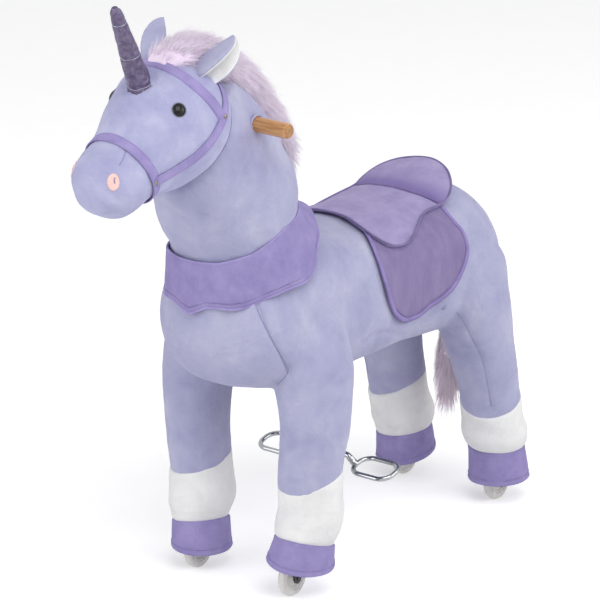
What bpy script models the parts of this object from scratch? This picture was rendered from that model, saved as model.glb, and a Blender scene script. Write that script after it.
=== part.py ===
"""Plush unicorn that a child rides by rocking its two halves together and apart.

The front half carries the saddle, the rear half folds under the saddle, and a chrome
stirrup frame linked to both halves drives the fold. The head turns with the wooden
handle and steers the two front wheels. Metres, +Z up, the unicorn faces -Y and its
left side is +X. Places are given from a point on the ground midway between the axles.
"""

import math

import bmesh
import bpy
from mathutils import Matrix, Vector

# Driving dimensions
BASE_Y = 0.1350  # moves the midpoint of the axles so that the whole box is centred
GAP = 0.0004  # clearance between pieces that touch
HALF_TRACK = 0.0875
HALF_BASE = 0.248
WHEEL_R = 0.027
WHEEL_W = 0.014
WHEEL_SIDES = 20
AXLE_R = 0.003
AXLE_HALF = 0.013
WELL_R = 0.0315  # the hollow that the wheel turns in
WELL_HIGH = 0.068
LEG_TUBE_R = 0.0125
STEM_R = 0.0075
HOOF_HIGH = 0.084
CUFF_HIGH = 0.158
PIVOT = Vector((0, 0, 0.450))  # main fold of the two halves
PEDAL_PIVOT = Vector((0, -0.207, 0.392))
STIRRUP_BAR = Vector((0, -0.060, 0.148))
LINK_FRONT = Vector((0, -0.155, 0.306))
LINK_REAR = Vector((0, 0.150, 0.328))
HANDLE = Vector((0, -0.306, 0.709))
HANDLE_R = 0.0108
HANDLE_HALF = 0.130
STEER_AXIS = Vector((0, -0.19, 0.98)).normalized()
NECK_SEAM = Vector((0, -0.268, 0.512))
FRONT_CROSS = Vector((0, -0.224, 0.425))
REAR_CROSS = Vector((0, 0.190, 0.345))
FRONT_SEAM_Y = -0.070  # chest plush meets belly plush
REAR_SEAM_Y = 0.150  # belly plush meets rump plush
CROSS_HALF = 0.076
CHANNEL_HALF = 0.040  # slot in the stuffing that holds the mechanism
STRAP_W = 0.012
STRAP_T = 0.0022
TORSO_POWER = 2.5  # how square the torso's rings are
HEAD_GAP = 0.0007  # clearance round soft forms
HEAD_TUBE_R = 0.0165
POST_R = 0.0110
CLAMP_R = 0.0155
CLAMP_HALF = 0.0260
BOLT_R = 0.0050
BOLT_HALF = 0.0380
RAIL_X = 0.0275
RAIL_R = 0.0075
RAIL_EYE_R = 0.0155
SPINE_R = 0.0110
SLEEVE_R = 0.0150
SLEEVE_HALF = 0.0185
SHAFT_R = 0.0060
ARM_X = 0.0300
ARM_R = 0.0055
ARM_EYE_R = 0.0105
CROSSBAR_R = 0.0050
LOOP_R = 0.0040
LOOP_HALF_X = 0.034
LOOP_HALF_Y = 0.0215
LOOP_CORNER = 0.0135
LOOP_PITCH = math.radians(15)
LINK_X = 0.0205
LINK_T = 0.0040
LINK_HALF = 0.0080
FRONT_PIN_R = 0.0030
REAR_PIN_R = 0.0040
REAR_PIN_HALF = 0.030
REAR_PIN_SLACK = 0.0015  # the hole at the link's rear end is this much larger all round
HORN_BASE = Vector((0, -0.460, 0.768))
HORN_TIP = Vector((0, -0.508, 0.900))
EYE_R = 0.0098

X = Vector((1, 0, 0))
Y = Vector((0, 1, 0))
Z = Vector((0, 0, 1))
SIDES = (("left", 1), ("right", -1))


def clear_scene():
    for obj in list(bpy.data.objects):
        bpy.data.objects.remove(obj)


def new_collection(name):
    made = bpy.data.collections.new(name)
    bpy.context.scene.collection.children.link(made)
    return made


clear_scene()
PARTS = new_collection("plush_unicorn_ride_on")
CUTTERS = new_collection("cutters")


def new_empty(name, place, parent=None):
    """An empty on a joint's axis, or the origin that every piece hangs from."""
    empty = bpy.data.objects.new(name, None)
    PARTS.objects.link(empty)
    empty.empty_display_size = 0.03
    empty.location = place - (parent.matrix_world.translation - ORIGIN if parent else Vector())
    empty.parent = parent
    bpy.context.view_layer.update()
    return empty


ORIGIN = Vector((0, BASE_Y, 0))
HORSE = new_empty("horse_origin", ORIGIN)
REAR_PIVOT = new_empty("rear_pivot", PIVOT, HORSE)
PEDAL_HINGE = new_empty("pedal_hinge", PEDAL_PIVOT, HORSE)
LINK_HINGE = new_empty("link_hinge", LINK_FRONT, PEDAL_HINGE)
STEER_HINGE = new_empty("steer_hinge", NECK_SEAM, HORSE)


def material(name, colour, roughness, metallic=0.0):
    made = bpy.data.materials.new(name)
    made.use_nodes = True
    shader = made.node_tree.nodes["Principled BSDF"]
    shader.inputs["Base Color"].default_value = (*colour, 1)
    shader.inputs["Roughness"].default_value = roughness
    shader.inputs["Metallic"].default_value = metallic
    made.diffuse_color = (*colour, 1)
    return made


PLUSH = material("lavender_plush", (0.46, 0.46, 0.74), 0.95)
WHITE_PLUSH = material("white_plush", (0.88, 0.88, 0.90), 0.95)
FELT = material("purple_felt", (0.32, 0.26, 0.55), 0.9)
STRAP = material("purple_webbing", (0.38, 0.31, 0.58), 0.8)
HORN_SATIN = material("horn_satin", (0.15, 0.11, 0.22), 0.35)
HAIR = material("pink_pile", (0.71, 0.60, 0.76), 0.9)
EYE = material("black_eye", (0.01, 0.01, 0.01), 0.08)
WOOD = material("beech_dowel", (0.58, 0.29, 0.12), 0.45)
CHROME = material("chrome_rod", (0.75, 0.75, 0.77), 0.12, 1.0)
STEEL = material("painted_steel", (0.08, 0.08, 0.09), 0.5, 0.3)
TREAD = material("clear_grey_tread", (0.50, 0.49, 0.44), 0.4)
BOARD = material("plywood", (0.55, 0.38, 0.2), 0.7)


def add(name, mesh, finish, parent=HORSE, cutter=False):
    """Links a mesh whose points are measured from the ground point, keeping them in place."""
    obj = bpy.data.objects.new(name, mesh)
    (CUTTERS if cutter else PARTS).objects.link(obj)
    mesh.transform(Matrix.Translation(ORIGIN - parent.matrix_world.translation))
    obj.parent = parent
    if finish:
        mesh.materials.append(finish)
    if cutter:
        obj.hide_render = True
        obj.display_type = "WIRE"
    return obj


def boolean(obj, other, operation="DIFFERENCE"):
    modifier = obj.modifiers.new(operation.lower(), "BOOLEAN")
    modifier.operation = operation
    modifier.object = other
    modifier.solver = "EXACT"
    return modifier


def cut(obj, *others):
    for other in others:
        boolean(obj, other)
    return obj


def smooth(mesh, degrees=40):
    mesh.shade_smooth()
    mesh.set_sharp_from_angle(angle=math.radians(degrees))


def finish_mesh(name, bm, by_hand=False):
    if by_hand:
        bmesh.ops.recalc_face_normals(bm, faces=bm.faces)
    mesh = bpy.data.meshes.new(name)
    bm.to_mesh(mesh)
    bm.free()
    smooth(mesh)
    return mesh


def cylinder_mesh(name, start, end, radius, sides=16):
    """A straight round bar between two points."""
    bm = bmesh.new()
    bmesh.ops.create_cone(
        bm, cap_ends=True, segments=sides, radius1=radius, radius2=radius, depth=(end - start).length,
    )
    turn = (end - start).to_track_quat("Z", "Y").to_matrix().to_4x4()
    bm.transform(Matrix.Translation((start + end) / 2) @ turn)
    return finish_mesh(name, bm)


def rod(name, start, end, radius, finish, parent=HORSE, sides=16, cutter=False):
    return add(name, cylinder_mesh(name, start, end, radius, sides), finish, parent, cutter)


def bore(name, centre, radius, sides=14):
    """A long round cutter across the whole width, for a hole or for clearance round a bar."""
    return rod(name, centre - X * 0.2, centre + X * 0.2, radius, None, cutter=True, sides=sides)


def box(name, low, high, finish=None, parent=HORSE, cutter=False):
    low, high = Vector(low), Vector(high)
    bm = bmesh.new()
    bmesh.ops.create_cube(bm, size=1)
    size = high - low
    bm.transform(Matrix.Translation((low + high) / 2) @ Matrix.Diagonal((*size, 1)))
    return add(name, finish_mesh(name, bm), finish, parent, cutter)


def mesh_of_curve(name, data, offset=Matrix.Identity(4)):
    """The closed mesh that a curve makes, with its caps welded on."""
    holder = bpy.data.objects.new(name, data)
    CUTTERS.objects.link(holder)
    bpy.context.view_layer.update()
    graph = bpy.context.evaluated_depsgraph_get()
    mesh = bpy.data.meshes.new_from_object(holder.evaluated_get(graph))
    bpy.data.objects.remove(holder)
    bpy.data.curves.remove(data)
    bm = bmesh.new()
    bm.from_mesh(mesh)
    bpy.data.meshes.remove(mesh)
    bmesh.ops.remove_doubles(bm, verts=bm.verts, dist=1e-6)
    bm.transform(offset)
    return finish_mesh(name, bm, by_hand=True)


def tube_mesh(name, points, radius, closed=False, resolution=3, smoothness=4):
    """A bent round rod through the points, as a Bezier curve with automatic handles."""
    data = bpy.data.curves.new(name, "CURVE")
    data.dimensions = "3D"
    data.resolution_u = smoothness
    data.bevel_depth = radius
    data.bevel_resolution = resolution
    data.use_fill_caps = not closed
    spline = data.splines.new("BEZIER")
    spline.bezier_points.add(len(points) - 1)
    spline.use_cyclic_u = closed
    for knot, point in zip(spline.bezier_points, points):
        knot.co = point
        knot.handle_left_type = "AUTO"
        knot.handle_right_type = "AUTO"
    return mesh_of_curve(name, data)


def tube(name, points, radius, finish, parent=HORSE, cutter=False, **shape):
    mesh = tube_mesh(name, points, radius, **shape)
    return add(name, mesh, finish, parent, cutter)


def outline_mesh(name, outline, x_middle, thickness, curved=False):
    """A flat plate in the YZ plane: the outline's points are (y, z) pairs."""
    data = bpy.data.curves.new(name, "CURVE")
    data.dimensions = "2D"
    data.fill_mode = "BOTH"
    data.extrude = thickness / 2
    data.resolution_u = 4 if curved else 1
    spline = data.splines.new("BEZIER")
    spline.bezier_points.add(len(outline) - 1)
    spline.use_cyclic_u = True
    for knot, point in zip(spline.bezier_points, outline):
        knot.co = (*point, 0)
        knot.handle_left_type = knot.handle_right_type = "AUTO" if curved else "VECTOR"
    stand = Matrix(((0, 0, 1, x_middle), (1, 0, 0, 0), (0, 1, 0, 0), (0, 0, 0, 1)))
    return mesh_of_curve(name, data, stand)


def capsule_outline(start, end, half_width, steps=8):
    """The outline of a flat bar with round ends, its pin centres at start and end."""
    along = math.atan2(end.z - start.z, end.y - start.y)
    outline = []
    for centre, first in ((end, along - math.pi / 2), (start, along + math.pi / 2)):
        for step in range(steps + 1):
            angle = first + math.pi * step / steps
            y = centre.y + half_width * math.cos(angle)
            z = centre.z + half_width * math.sin(angle)
            outline.append((y, z))
    return outline


# Soft forms are coarse cages of rings with a Subdivision Surface.


def ring_points(ring, count, grow, power, fill):
    """One ring of a form: centre, half widths across and along, and the way it faces."""
    centre, across, along, facing = ring
    facing = facing.normalized()
    side = (X - facing * X.dot(facing)).normalized()
    other = facing.cross(side)
    points = []
    for step in range(count):
        angle = 2 * math.pi * (step + 0.5) / count
        c, s = math.cos(angle), math.sin(angle)
        bulge = (abs(c) ** power + abs(s) ** power) ** (-1 / power)
        u = bulge * c * (across * fill + grow)
        v = bulge * s * (along * fill + grow)
        points.append(centre + side * u + other * v)
    return points


def loft(name, rings, finish=None, parent=HORSE, count=12, grow=0.0, power=2.0,
         tips=(0.006, 0.006), levels=1, cutter=False):
    """A closed soft form through its rings, with a rounded tip at each end."""
    # A Subdivision Surface draws each ring in, so its cage is that much larger.
    fill = 3 / (2 + math.cos(2 * math.pi / count)) if levels else 1
    bm = bmesh.new()
    rows = []
    for ring in rings:
        rows.append([bm.verts.new(p) for p in ring_points(ring, count, grow, power, fill)])
    for row, following in zip(rows, rows[1:]):
        for i in range(count):
            j = (i + 1) % count
            bm.faces.new((row[i], row[j], following[j], following[i]))
    ends = ((rows[0], rings[0], -tips[0] - grow), (rows[-1], rings[-1], tips[1] + grow))
    for row, ring, reach in ends:
        tip = bm.verts.new(ring[0] + ring[3].normalized() * reach)
        for i in range(count):
            bm.faces.new((row[i], row[(i + 1) % count], tip))
    obj = add(name, finish_mesh(name, bm, by_hand=True), finish, parent, cutter)
    if levels:
        subdivision = obj.modifiers.new("subdivision", "SUBSURF")
        subdivision.levels = levels
        subdivision.render_levels = levels
    return obj


def yz(y, z, x=0.0):
    return Vector((x, y, z))


def torso_rings():
    """Stations from the chest to the rump: y, middle height, half width, half height."""
    stations = (
        (-0.350, 0.418, 0.050, 0.060),
        (-0.325, 0.413, 0.090, 0.094),
        (-0.285, 0.407, 0.110, 0.116),
        (-0.200, 0.400, 0.117, 0.122),
        (-0.080, 0.394, 0.112, 0.118),
        (0.040, 0.391, 0.111, 0.117),
        (0.140, 0.389, 0.115, 0.119),
        (0.215, 0.384, 0.114, 0.118),
        (0.262, 0.380, 0.092, 0.098),
        (0.286, 0.380, 0.050, 0.055),
    )
    return [(yz(y, z), a, b, Y) for y, z, a, b in stations]


def neck_rings():
    """From below the collar up into the head, tilting forward."""
    stations = (
        (-0.245, 0.420, 0.098, 0.110, -0.19),
        (-0.259, 0.480, 0.092, 0.102, -0.19),
        (-0.272, 0.540, 0.084, 0.093, -0.25),
        (-0.298, 0.610, 0.073, 0.086, -0.35),
        (-0.325, 0.670, 0.064, 0.080, -0.38),
        (-0.348, 0.725, 0.060, 0.072, -0.35),
        (-0.360, 0.755, 0.050, 0.056, -0.30),
    )
    return [(yz(y, z), a, b, yz(tilt, 1)) for y, z, a, b, tilt in stations]


HEAD_WAY = yz(-0.909, -0.416)


def head_rings():
    """From the back of the skull to the nose."""
    stations = (
        (-0.340, 0.751, 0.036, 0.038),
        (-0.356, 0.743, 0.060, 0.062),
        (-0.380, 0.732, 0.074, 0.076),
        (-0.412, 0.717, 0.077, 0.081),
        (-0.447, 0.700, 0.070, 0.074),
        (-0.480, 0.685, 0.059, 0.062),
        (-0.505, 0.674, 0.053, 0.056),
        (-0.532, 0.663, 0.051, 0.053),
        (-0.552, 0.655, 0.043, 0.045),
        (-0.564, 0.650, 0.026, 0.028),
    )
    return [(yz(y, z), a, b, HEAD_WAY) for y, z, a, b in stations]


def front_leg_rings(side):
    stations = (
        (0.146, 0.0975, -0.2270, 0.0450),
        (0.200, 0.1010, -0.2265, 0.0465),
        (0.250, 0.1030, -0.2240, 0.0495),
        (0.300, 0.1000, -0.2200, 0.0550),
        (0.350, 0.0900, -0.2150, 0.0620),
        (0.400, 0.0680, -0.2100, 0.0620),
    )
    return [(Vector((side * x, y, z)), r, r, Z) for z, x, y, r in stations]


def rear_leg_rings(side):
    stations = (
        (0.146, 0.0890, 0.2310, 0.0450),
        (0.200, 0.0890, 0.2220, 0.0470),
        (0.250, 0.0880, 0.2100, 0.0525),
        (0.300, 0.0830, 0.1990, 0.0620),
        (0.350, 0.0740, 0.1880, 0.0720),
        (0.400, 0.0600, 0.1800, 0.0720),
    )
    return [(Vector((side * x, y, z)), r, r, Z) for z, x, y, r in stations]


def foot_rings(side, end, piece):
    """Hoof or cuff: height, place and radius, from the ground end up."""
    front = (
        (0.0340, 0.0885, -0.2455, 0.0470),
        (0.0500, 0.0892, -0.2440, 0.0465),
        (0.0845, 0.0912, -0.2395, 0.0450),
        (0.0980, 0.0935, -0.2350, 0.0488),
        (0.1180, 0.0955, -0.2300, 0.0493),
        (0.1400, 0.0970, -0.2275, 0.0475),
        (0.1580, 0.0980, -0.2268, 0.0450),
    )
    rear = (
        (0.0340, 0.0880, 0.2480, 0.0470),
        (0.0500, 0.0880, 0.2475, 0.0465),
        (0.0845, 0.0880, 0.2445, 0.0450),
        (0.0980, 0.0880, 0.2420, 0.0488),
        (0.1180, 0.0882, 0.2380, 0.0493),
        (0.1400, 0.0888, 0.2325, 0.0475),
        (0.1580, 0.0890, 0.2290, 0.0450),
    )
    stations = front if end == "front" else rear
    stations = stations[:3] if piece == "hoof" else stations[2:]
    return [(Vector((side * x, y, z)), r, r, Z) for z, x, y, r in stations]


FRONT_TUBE = (
    (0.0875, -0.248, 0.066),
    (0.0875, -0.248, 0.125),
    (0.0925, -0.236, 0.210),
    (0.0800, -0.224, 0.440),
)
REAR_TUBE = (
    (0.0875, 0.248, 0.066),
    (0.0875, 0.248, 0.110),
    (0.0875, 0.222, 0.220),
    (0.0800, 0.190, 0.362),
)


def mirrored(points, side):
    return [Vector((side * x, y, z)) for x, y, z in points]


def fold_frame_cutters():
    """The slot in the stuffing for the mechanism, and the bores for the leg tubes."""
    made = {}
    half = CHANNEL_HALF
    made["chest"] = box("channel_chest", (-half, -0.262, 0.20), (half, 0.0, 0.470), cutter=True)
    made["body"] = box("channel_body", (-half, -0.262, 0.292), (half, 0.215, 0.470), cutter=True)
    made["board"] = box("slot_board", (-0.0655, -0.145, 0.4655), (0.0655, 0.065, 0.4775), cutter=True)
    made["cross_front"] = rod("bore_cross_front", FRONT_CROSS - X * 0.092, FRONT_CROSS + X * 0.092,
                              LEG_TUBE_R + 0.0015, None, cutter=True, sides=12)
    made["cross_rear"] = rod("bore_cross_rear", REAR_CROSS - X * 0.084, REAR_CROSS + X * 0.084,
                             LEG_TUBE_R + 0.0015, None, cutter=True, sides=12)
    made["steering"] = rod("bore_steering", steer_point(0.360), steer_point(0.640), HEAD_TUBE_R + 0.0025,
                           None, cutter=True, sides=12)
    for word, side in SIDES:
        for end, path in (("front", FRONT_TUBE), ("rear", REAR_TUBE)):
            made[end + word] = tube(f"bore_{end}_{word}", mirrored(path, side), LEG_TUBE_R + 0.0030,
                                    None, cutter=True, resolution=1, smoothness=3)
    return made


def steer_point(height):
    """The point of the steering axis at this height."""
    return HANDLE + STEER_AXIS * ((height - HANDLE.z) / STEER_AXIS.z)


def plane_box(name, point, normal, above=True, size=0.8):
    """A large cutter with one face on a plane, on the side that the normal points to."""
    bm = bmesh.new()
    bmesh.ops.create_cube(bm, size=size)
    turn = normal.to_track_quat("Z", "Y").to_matrix().to_4x4()
    half = Matrix.Translation((0, 0, size / 2 if above else -size / 2))
    bm.transform(Matrix.Translation(point) @ turn @ half)
    return add(name, finish_mesh(name, bm), None, cutter=True)


def make_plush_body(bores):
    above_neck = plane_box("above_neck_seam", NECK_SEAM, STEER_AXIS)
    behind_chest = plane_box("behind_chest", yz(FRONT_SEAM_Y, 0.4), Y)
    stump = loft("neck_stump", neck_rings(), cutter=True, power=2.0)
    chest = loft("chest_plush", torso_rings(), PLUSH, power=TORSO_POWER)
    boolean(chest, stump, "UNION")
    cut(chest, above_neck, behind_chest, bores["frontleft"], bores["frontright"])
    cut(chest, bores["chest"], bores["board"], bores["cross_front"], bores["steering"])

    before_belly = plane_box("before_belly", yz(FRONT_SEAM_Y + GAP, 0.4), -Y)
    behind_belly = plane_box("behind_belly", yz(REAR_SEAM_Y - GAP, 0.4), Y)
    belly = loft("belly_plush", torso_rings(), PLUSH, power=TORSO_POWER)
    cut(belly, before_belly, behind_belly, bores["body"], bores["board"])

    before_rump = plane_box("before_rump", yz(REAR_SEAM_Y, 0.4), -Y)
    rump = loft("rump_plush", torso_rings(), PLUSH, REAR_PIVOT, power=TORSO_POWER)
    cut(rump, before_rump, bores["body"], bores["cross_rear"], bores["rearleft"], bores["rearright"])

    around = loft("around_torso", torso_rings(), power=TORSO_POWER, grow=HEAD_GAP, cutter=True)
    for end, rings, parent in (("front", front_leg_rings, HORSE), ("rear", rear_leg_rings, REAR_PIVOT)):
        for word, side in SIDES:
            leg = loft(f"{end}_leg_plush_{word}", rings(side), PLUSH, parent, count=14, levels=0)
            below = plane_box(f"below_{end}_leg_{word}", Z * CUFF_HIGH, -Z)
            cut(leg, around, below, bores[end + word])


def make_feet(bores):
    """Felt hooves with a well for the wheel, and white cuffs above them."""
    shape = {"count": 14, "levels": 0, "tips": (0, 0)}
    for end, parent in (("front", HORSE), ("rear", REAR_PIVOT)):
        for word, side in SIDES:
            sign = -1 if end == "front" else 1
            hub = Vector((side * HALF_TRACK, sign * HALF_BASE, 0))
            hoof = loft(f"{end}_hoof_{word}", foot_rings(side, end, "hoof"), FELT, parent, **shape)
            cuff = loft(f"{end}_cuff_{word}", foot_rings(side, end, "cuff"), WHITE_PLUSH, parent, **shape)
            over = plane_box(f"over_{end}_hoof_{word}", Z * HOOF_HIGH, Z)
            under = plane_box(f"under_{end}_cuff_{word}", Z * (HOOF_HIGH + GAP), -Z)
            above = plane_box(f"above_{end}_cuff_{word}", Z * (CUFF_HIGH - GAP), Z)
            well = rod(f"wheel_well_{end}_{word}", hub - Z * 0.02, hub + Z * WELL_HIGH, WELL_R, None,
                       cutter=True, sides=12)
            cut(hoof, over, well, bores[end + word])
            cut(cuff, under, above, bores[end + word])


def make_tail():
    rings = (
        (yz(0.250, 0.438), 0.012, 0.012, yz(1.0, 0.1)),
        (yz(0.268, 0.432), 0.016, 0.016, yz(1.0, -0.6)),
        (yz(0.283, 0.405), 0.020, 0.018, yz(0.2, -1.0)),
        (yz(0.286, 0.340), 0.027, 0.021, yz(0, -1.0)),
        (yz(0.277, 0.260), 0.032, 0.023, yz(-0.1, -1.0)),
        (yz(0.264, 0.180), 0.026, 0.021, yz(-0.1, -1.0)),
        (yz(0.257, 0.130), 0.012, 0.011, yz(0, -1.0)),
    )
    tail = loft("tail", rings, HAIR, REAR_PIVOT, count=6)
    cut(tail, loft("around_rump", torso_rings(), power=TORSO_POWER, grow=0.0010, cutter=True))


def keep_between(outer, inner, *limits):
    """Leaves of a form only what lies inside the limits and outside the inner form."""
    for limit in limits:
        boolean(outer, limit, "INTERSECT")
    return cut(outer, inner)


def make_saddle():
    flap_edge = (
        (-0.112, 0.520), (-0.098, 0.485), (-0.082, 0.440), (-0.068, 0.395), (-0.045, 0.368), (-0.005, 0.358),
        (0.055, 0.370), (0.105, 0.382), (0.127, 0.408), (0.126, 0.440), (0.118, 0.500), (0.110, 0.580),
        (-0.060, 0.580),
    )
    edge = add("flap_edge", outline_mesh("flap_edge", flap_edge, 0, 0.4, curved=True), None, cutter=True)
    inner = loft("under_flap", torso_rings(), power=TORSO_POWER, grow=0.0020, cutter=True)
    flap = loft("saddle_flap", torso_rings(), FELT, power=TORSO_POWER, grow=0.0075)
    keep_between(flap, inner, edge)

    seat_edge = (
        (-0.145, 0.560), (-0.125, 0.520), (-0.078, 0.492), (-0.035, 0.472), (0.004, 0.468), (0.024, 0.486),
        (0.050, 0.500), (0.095, 0.502), (0.132, 0.498), (0.150, 0.520), (0.160, 0.600), (0.0, 0.640),
        (-0.120, 0.620),
    )
    edge = add("seat_edge", outline_mesh("seat_edge", seat_edge, 0, 0.4, curved=True), None, cutter=True)
    inner = loft("under_seat", torso_rings(), power=TORSO_POWER, grow=0.0082, cutter=True)
    # The seat's own form: a low dip for the rider and a raised cantle behind.
    form = (
        (-0.170, 0.396, 0.120, 0.126),
        (-0.110, 0.396, 0.126, 0.132),
        (-0.040, 0.396, 0.127, 0.134),
        (0.030, 0.395, 0.125, 0.136),
        (0.085, 0.394, 0.126, 0.150),
        (0.125, 0.394, 0.126, 0.161),
        (0.170, 0.394, 0.120, 0.150),
    )
    rings = [(yz(y, z), a, b, Y) for y, z, a, b in form]
    seat = loft("saddle_seat", rings, FELT, power=2.4)
    keep_between(seat, inner, edge)


def make_collar():
    """A felt collar that hangs from the neck over the chest, with a scalloped lower edge."""
    count, rows, lobes = 36, 4, 6
    top, top_across, top_along = yz(-0.2725, 0.551), 0.0885, 0.0975
    low, low_across, low_along = yz(-0.2540, 0.476), 0.1115, 0.1150
    bm = bmesh.new()
    grid = []
    for row in range(rows):
        share = row / (rows - 1)
        line = []
        for step in range(count):
            angle = 2 * math.pi * step / count
            scallop = 0.010 * share * abs(math.cos(lobes * angle / 2))
            # Behind the neck the collar is short, because it lies on the withers.
            lift = 0.043 * share * max(0.0, math.sin(angle)) ** 1.5
            centre = top.lerp(low, share)
            across = top_across + (low_across - top_across) * share ** 0.8
            along = top_along + (low_along - top_along) * share ** 0.8
            way = X * across * math.cos(angle) + yz(math.sin(angle) * along, 0.19 * math.sin(angle) * along)
            line.append(bm.verts.new(centre + way + STEER_AXIS * (lift - scallop)))
        grid.append(line)
    for upper, lower in zip(grid, grid[1:]):
        for i in range(count):
            j = (i + 1) % count
            bm.faces.new((upper[i], lower[i], lower[j], upper[j]))
    collar = add("neck_collar", finish_mesh("neck_collar", bm, by_hand=True), FELT)
    thick = collar.modifiers.new("thickness", "SOLIDIFY")
    thick.thickness = 0.004
    thick.offset = 1
    return collar


def ear_line(side):
    """The root of an ear, and the way from there to its tip."""
    base, tip = Vector((side * 0.048, -0.374, 0.778)), Vector((side * 0.070, -0.345, 0.845))
    return base, tip - base


def make_neck_and_head():
    below = plane_box("below_neck_seam", NECK_SEAM + STEER_AXIS * 0.001, STEER_AXIS, above=False)
    head = loft("head_plush", head_rings(), PLUSH, STEER_HINGE, tips=(0.008, 0.008))
    around_head = loft("around_head", head_rings(), tips=(0.008, 0.008), grow=HEAD_GAP, cutter=True)
    neck = loft("neck_plush", neck_rings(), PLUSH, STEER_HINGE)
    handle_bore = bore("bore_handle", HANDLE, HANDLE_R + GAP)
    post_bore = rod("bore_post", steer_point(0.45), steer_point(0.70), POST_R + 0.0008, None,
                    cutter=True, sides=12)
    clamp_half = X * (CLAMP_HALF + 0.001)
    clamp_bore = rod("bore_clamp", HANDLE - clamp_half, HANDLE + clamp_half, CLAMP_R + 0.001, None,
                     cutter=True, sides=12)
    cut(neck, below, around_head, handle_bore, post_bore, clamp_bore)
    cut(head, clamp_bore)
    around_neck = loft("around_neck", neck_rings(), grow=0.0014, cutter=True)

    way = HORN_TIP - HORN_BASE
    horn_rings = [(HORN_BASE + way * t, r, r, way) for t, r in
                  ((0.0, 0.0165), (0.15, 0.0160), (0.5, 0.0118), (0.85, 0.0080), (0.955, 0.0058))]
    horn = loft("horn", horn_rings, HORN_SATIN, STEER_HINGE, count=16, tips=(0, 0.004), levels=0)
    cut(horn, around_head)

    for word, side in SIDES:
        base, way = ear_line(side)
        rings = [(base + way * t, a, b, way) for t, a, b in
                 ((0.0, 0.014, 0.0085), (0.15, 0.018, 0.0100), (0.35, 0.0200, 0.0105), (0.6, 0.0170, 0.009),
                  (0.85, 0.0085, 0.006))]
        ear = loft(f"ear_{word}", rings, PLUSH, STEER_HINGE, count=12, levels=0, tips=(0.003, 0.008))
        out = Vector((side * 0.55, -0.80, 0.2)).normalized()
        scoop_rings = [(base + way * t + out * 0.0095, a, 0.0075, way) for t, a in
                       ((0.12, 0.008), (0.35, 0.0150), (0.6, 0.012), (0.8, 0.005))]
        scoop = loft(f"ear_scoop_{word}", scoop_rings, count=8, cutter=True, tips=(0.003, 0.003), levels=0)
        cut(ear, around_head, scoop)
        eye_place = Vector((side * 0.0480, -0.4560, 0.7560))
        bm = bmesh.new()
        bmesh.ops.create_uvsphere(bm, u_segments=14, v_segments=8, radius=EYE_R)
        bm.transform(Matrix.Translation(eye_place))
        eye = add(f"eye_{word}", finish_mesh(f"eye_{word}", bm), EYE, STEER_HINGE)
        cut(eye, around_head)

    rings = (
        (yz(-0.438, 0.806), 0.016, 0.010, yz(0.9, 0.5)),
        (yz(-0.405, 0.818), 0.030, 0.021, yz(1.0, 0.2)),
        (yz(-0.355, 0.816), 0.040, 0.032, yz(1.0, -0.2)),
        (yz(-0.300, 0.792), 0.042, 0.038, yz(1.0, -0.7)),
        (yz(-0.256, 0.745), 0.042, 0.040, yz(0.7, -1.0)),
        (yz(-0.226, 0.700), 0.042, 0.038, yz(0.5, -1.0)),
        (yz(-0.198, 0.655), 0.038, 0.034, yz(0.4, -1.0)),
        (yz(-0.180, 0.620), 0.028, 0.024, yz(0.3, -1.0)),
        (yz(-0.172, 0.596), 0.013, 0.011, yz(0.2, -1.0)),
    )
    mane = loft("mane", rings, HAIR, STEER_HINGE, count=14, levels=0)
    cut(mane, around_head, around_neck, handle_bore)
    for word, side in SIDES:
        base, way = ear_line(side)
        rings = [(base + way * t, a, b, way) for t, a, b in
                 ((0.0, 0.017, 0.0120), (0.5, 0.0220, 0.0140), (1.0, 0.011, 0.0090))]
        cut(mane, loft(f"around_ear_{word}", rings, count=10, cutter=True, levels=0))

    half = X * HANDLE_HALF
    rod("handle_bar", HANDLE - half, HANDLE + half, HANDLE_R, WOOD, STEER_HINGE, sides=32)
    post = rod("steering_post", steer_point(0.385), steer_point(0.703), POST_R, STEEL, STEER_HINGE)
    clamp = rod("handle_clamp", HANDLE - X * CLAMP_HALF, HANDLE + X * CLAMP_HALF, CLAMP_R, None, cutter=True)
    boolean(post, clamp, "UNION")
    cut(post, handle_bore)


def strap_band(name, point, normal, *limits, finish=None, parent=HORSE):
    """A strap round the head: a slab across it, between two grown copies of the head."""
    shape = {"tips": (0.008, 0.008)}
    outer = loft(name, head_rings(), finish, parent, grow=0.0012 + STRAP_T, cutter=finish is None, **shape)
    inner = loft(name + "_inner", head_rings(), grow=0.0012, cutter=True, **shape)
    bm = bmesh.new()
    bmesh.ops.create_cube(bm, size=1)
    turn = normal.to_track_quat("Z", "X").to_matrix().to_4x4()
    bm.transform(Matrix.Translation(point) @ turn @ Matrix.Diagonal((0.5, 0.5, STRAP_W, 1)))
    slab = add(name + "_slab", finish_mesh(name + "_slab", bm), None, cutter=True)
    return keep_between(outer, inner, slab, *limits)


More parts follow.
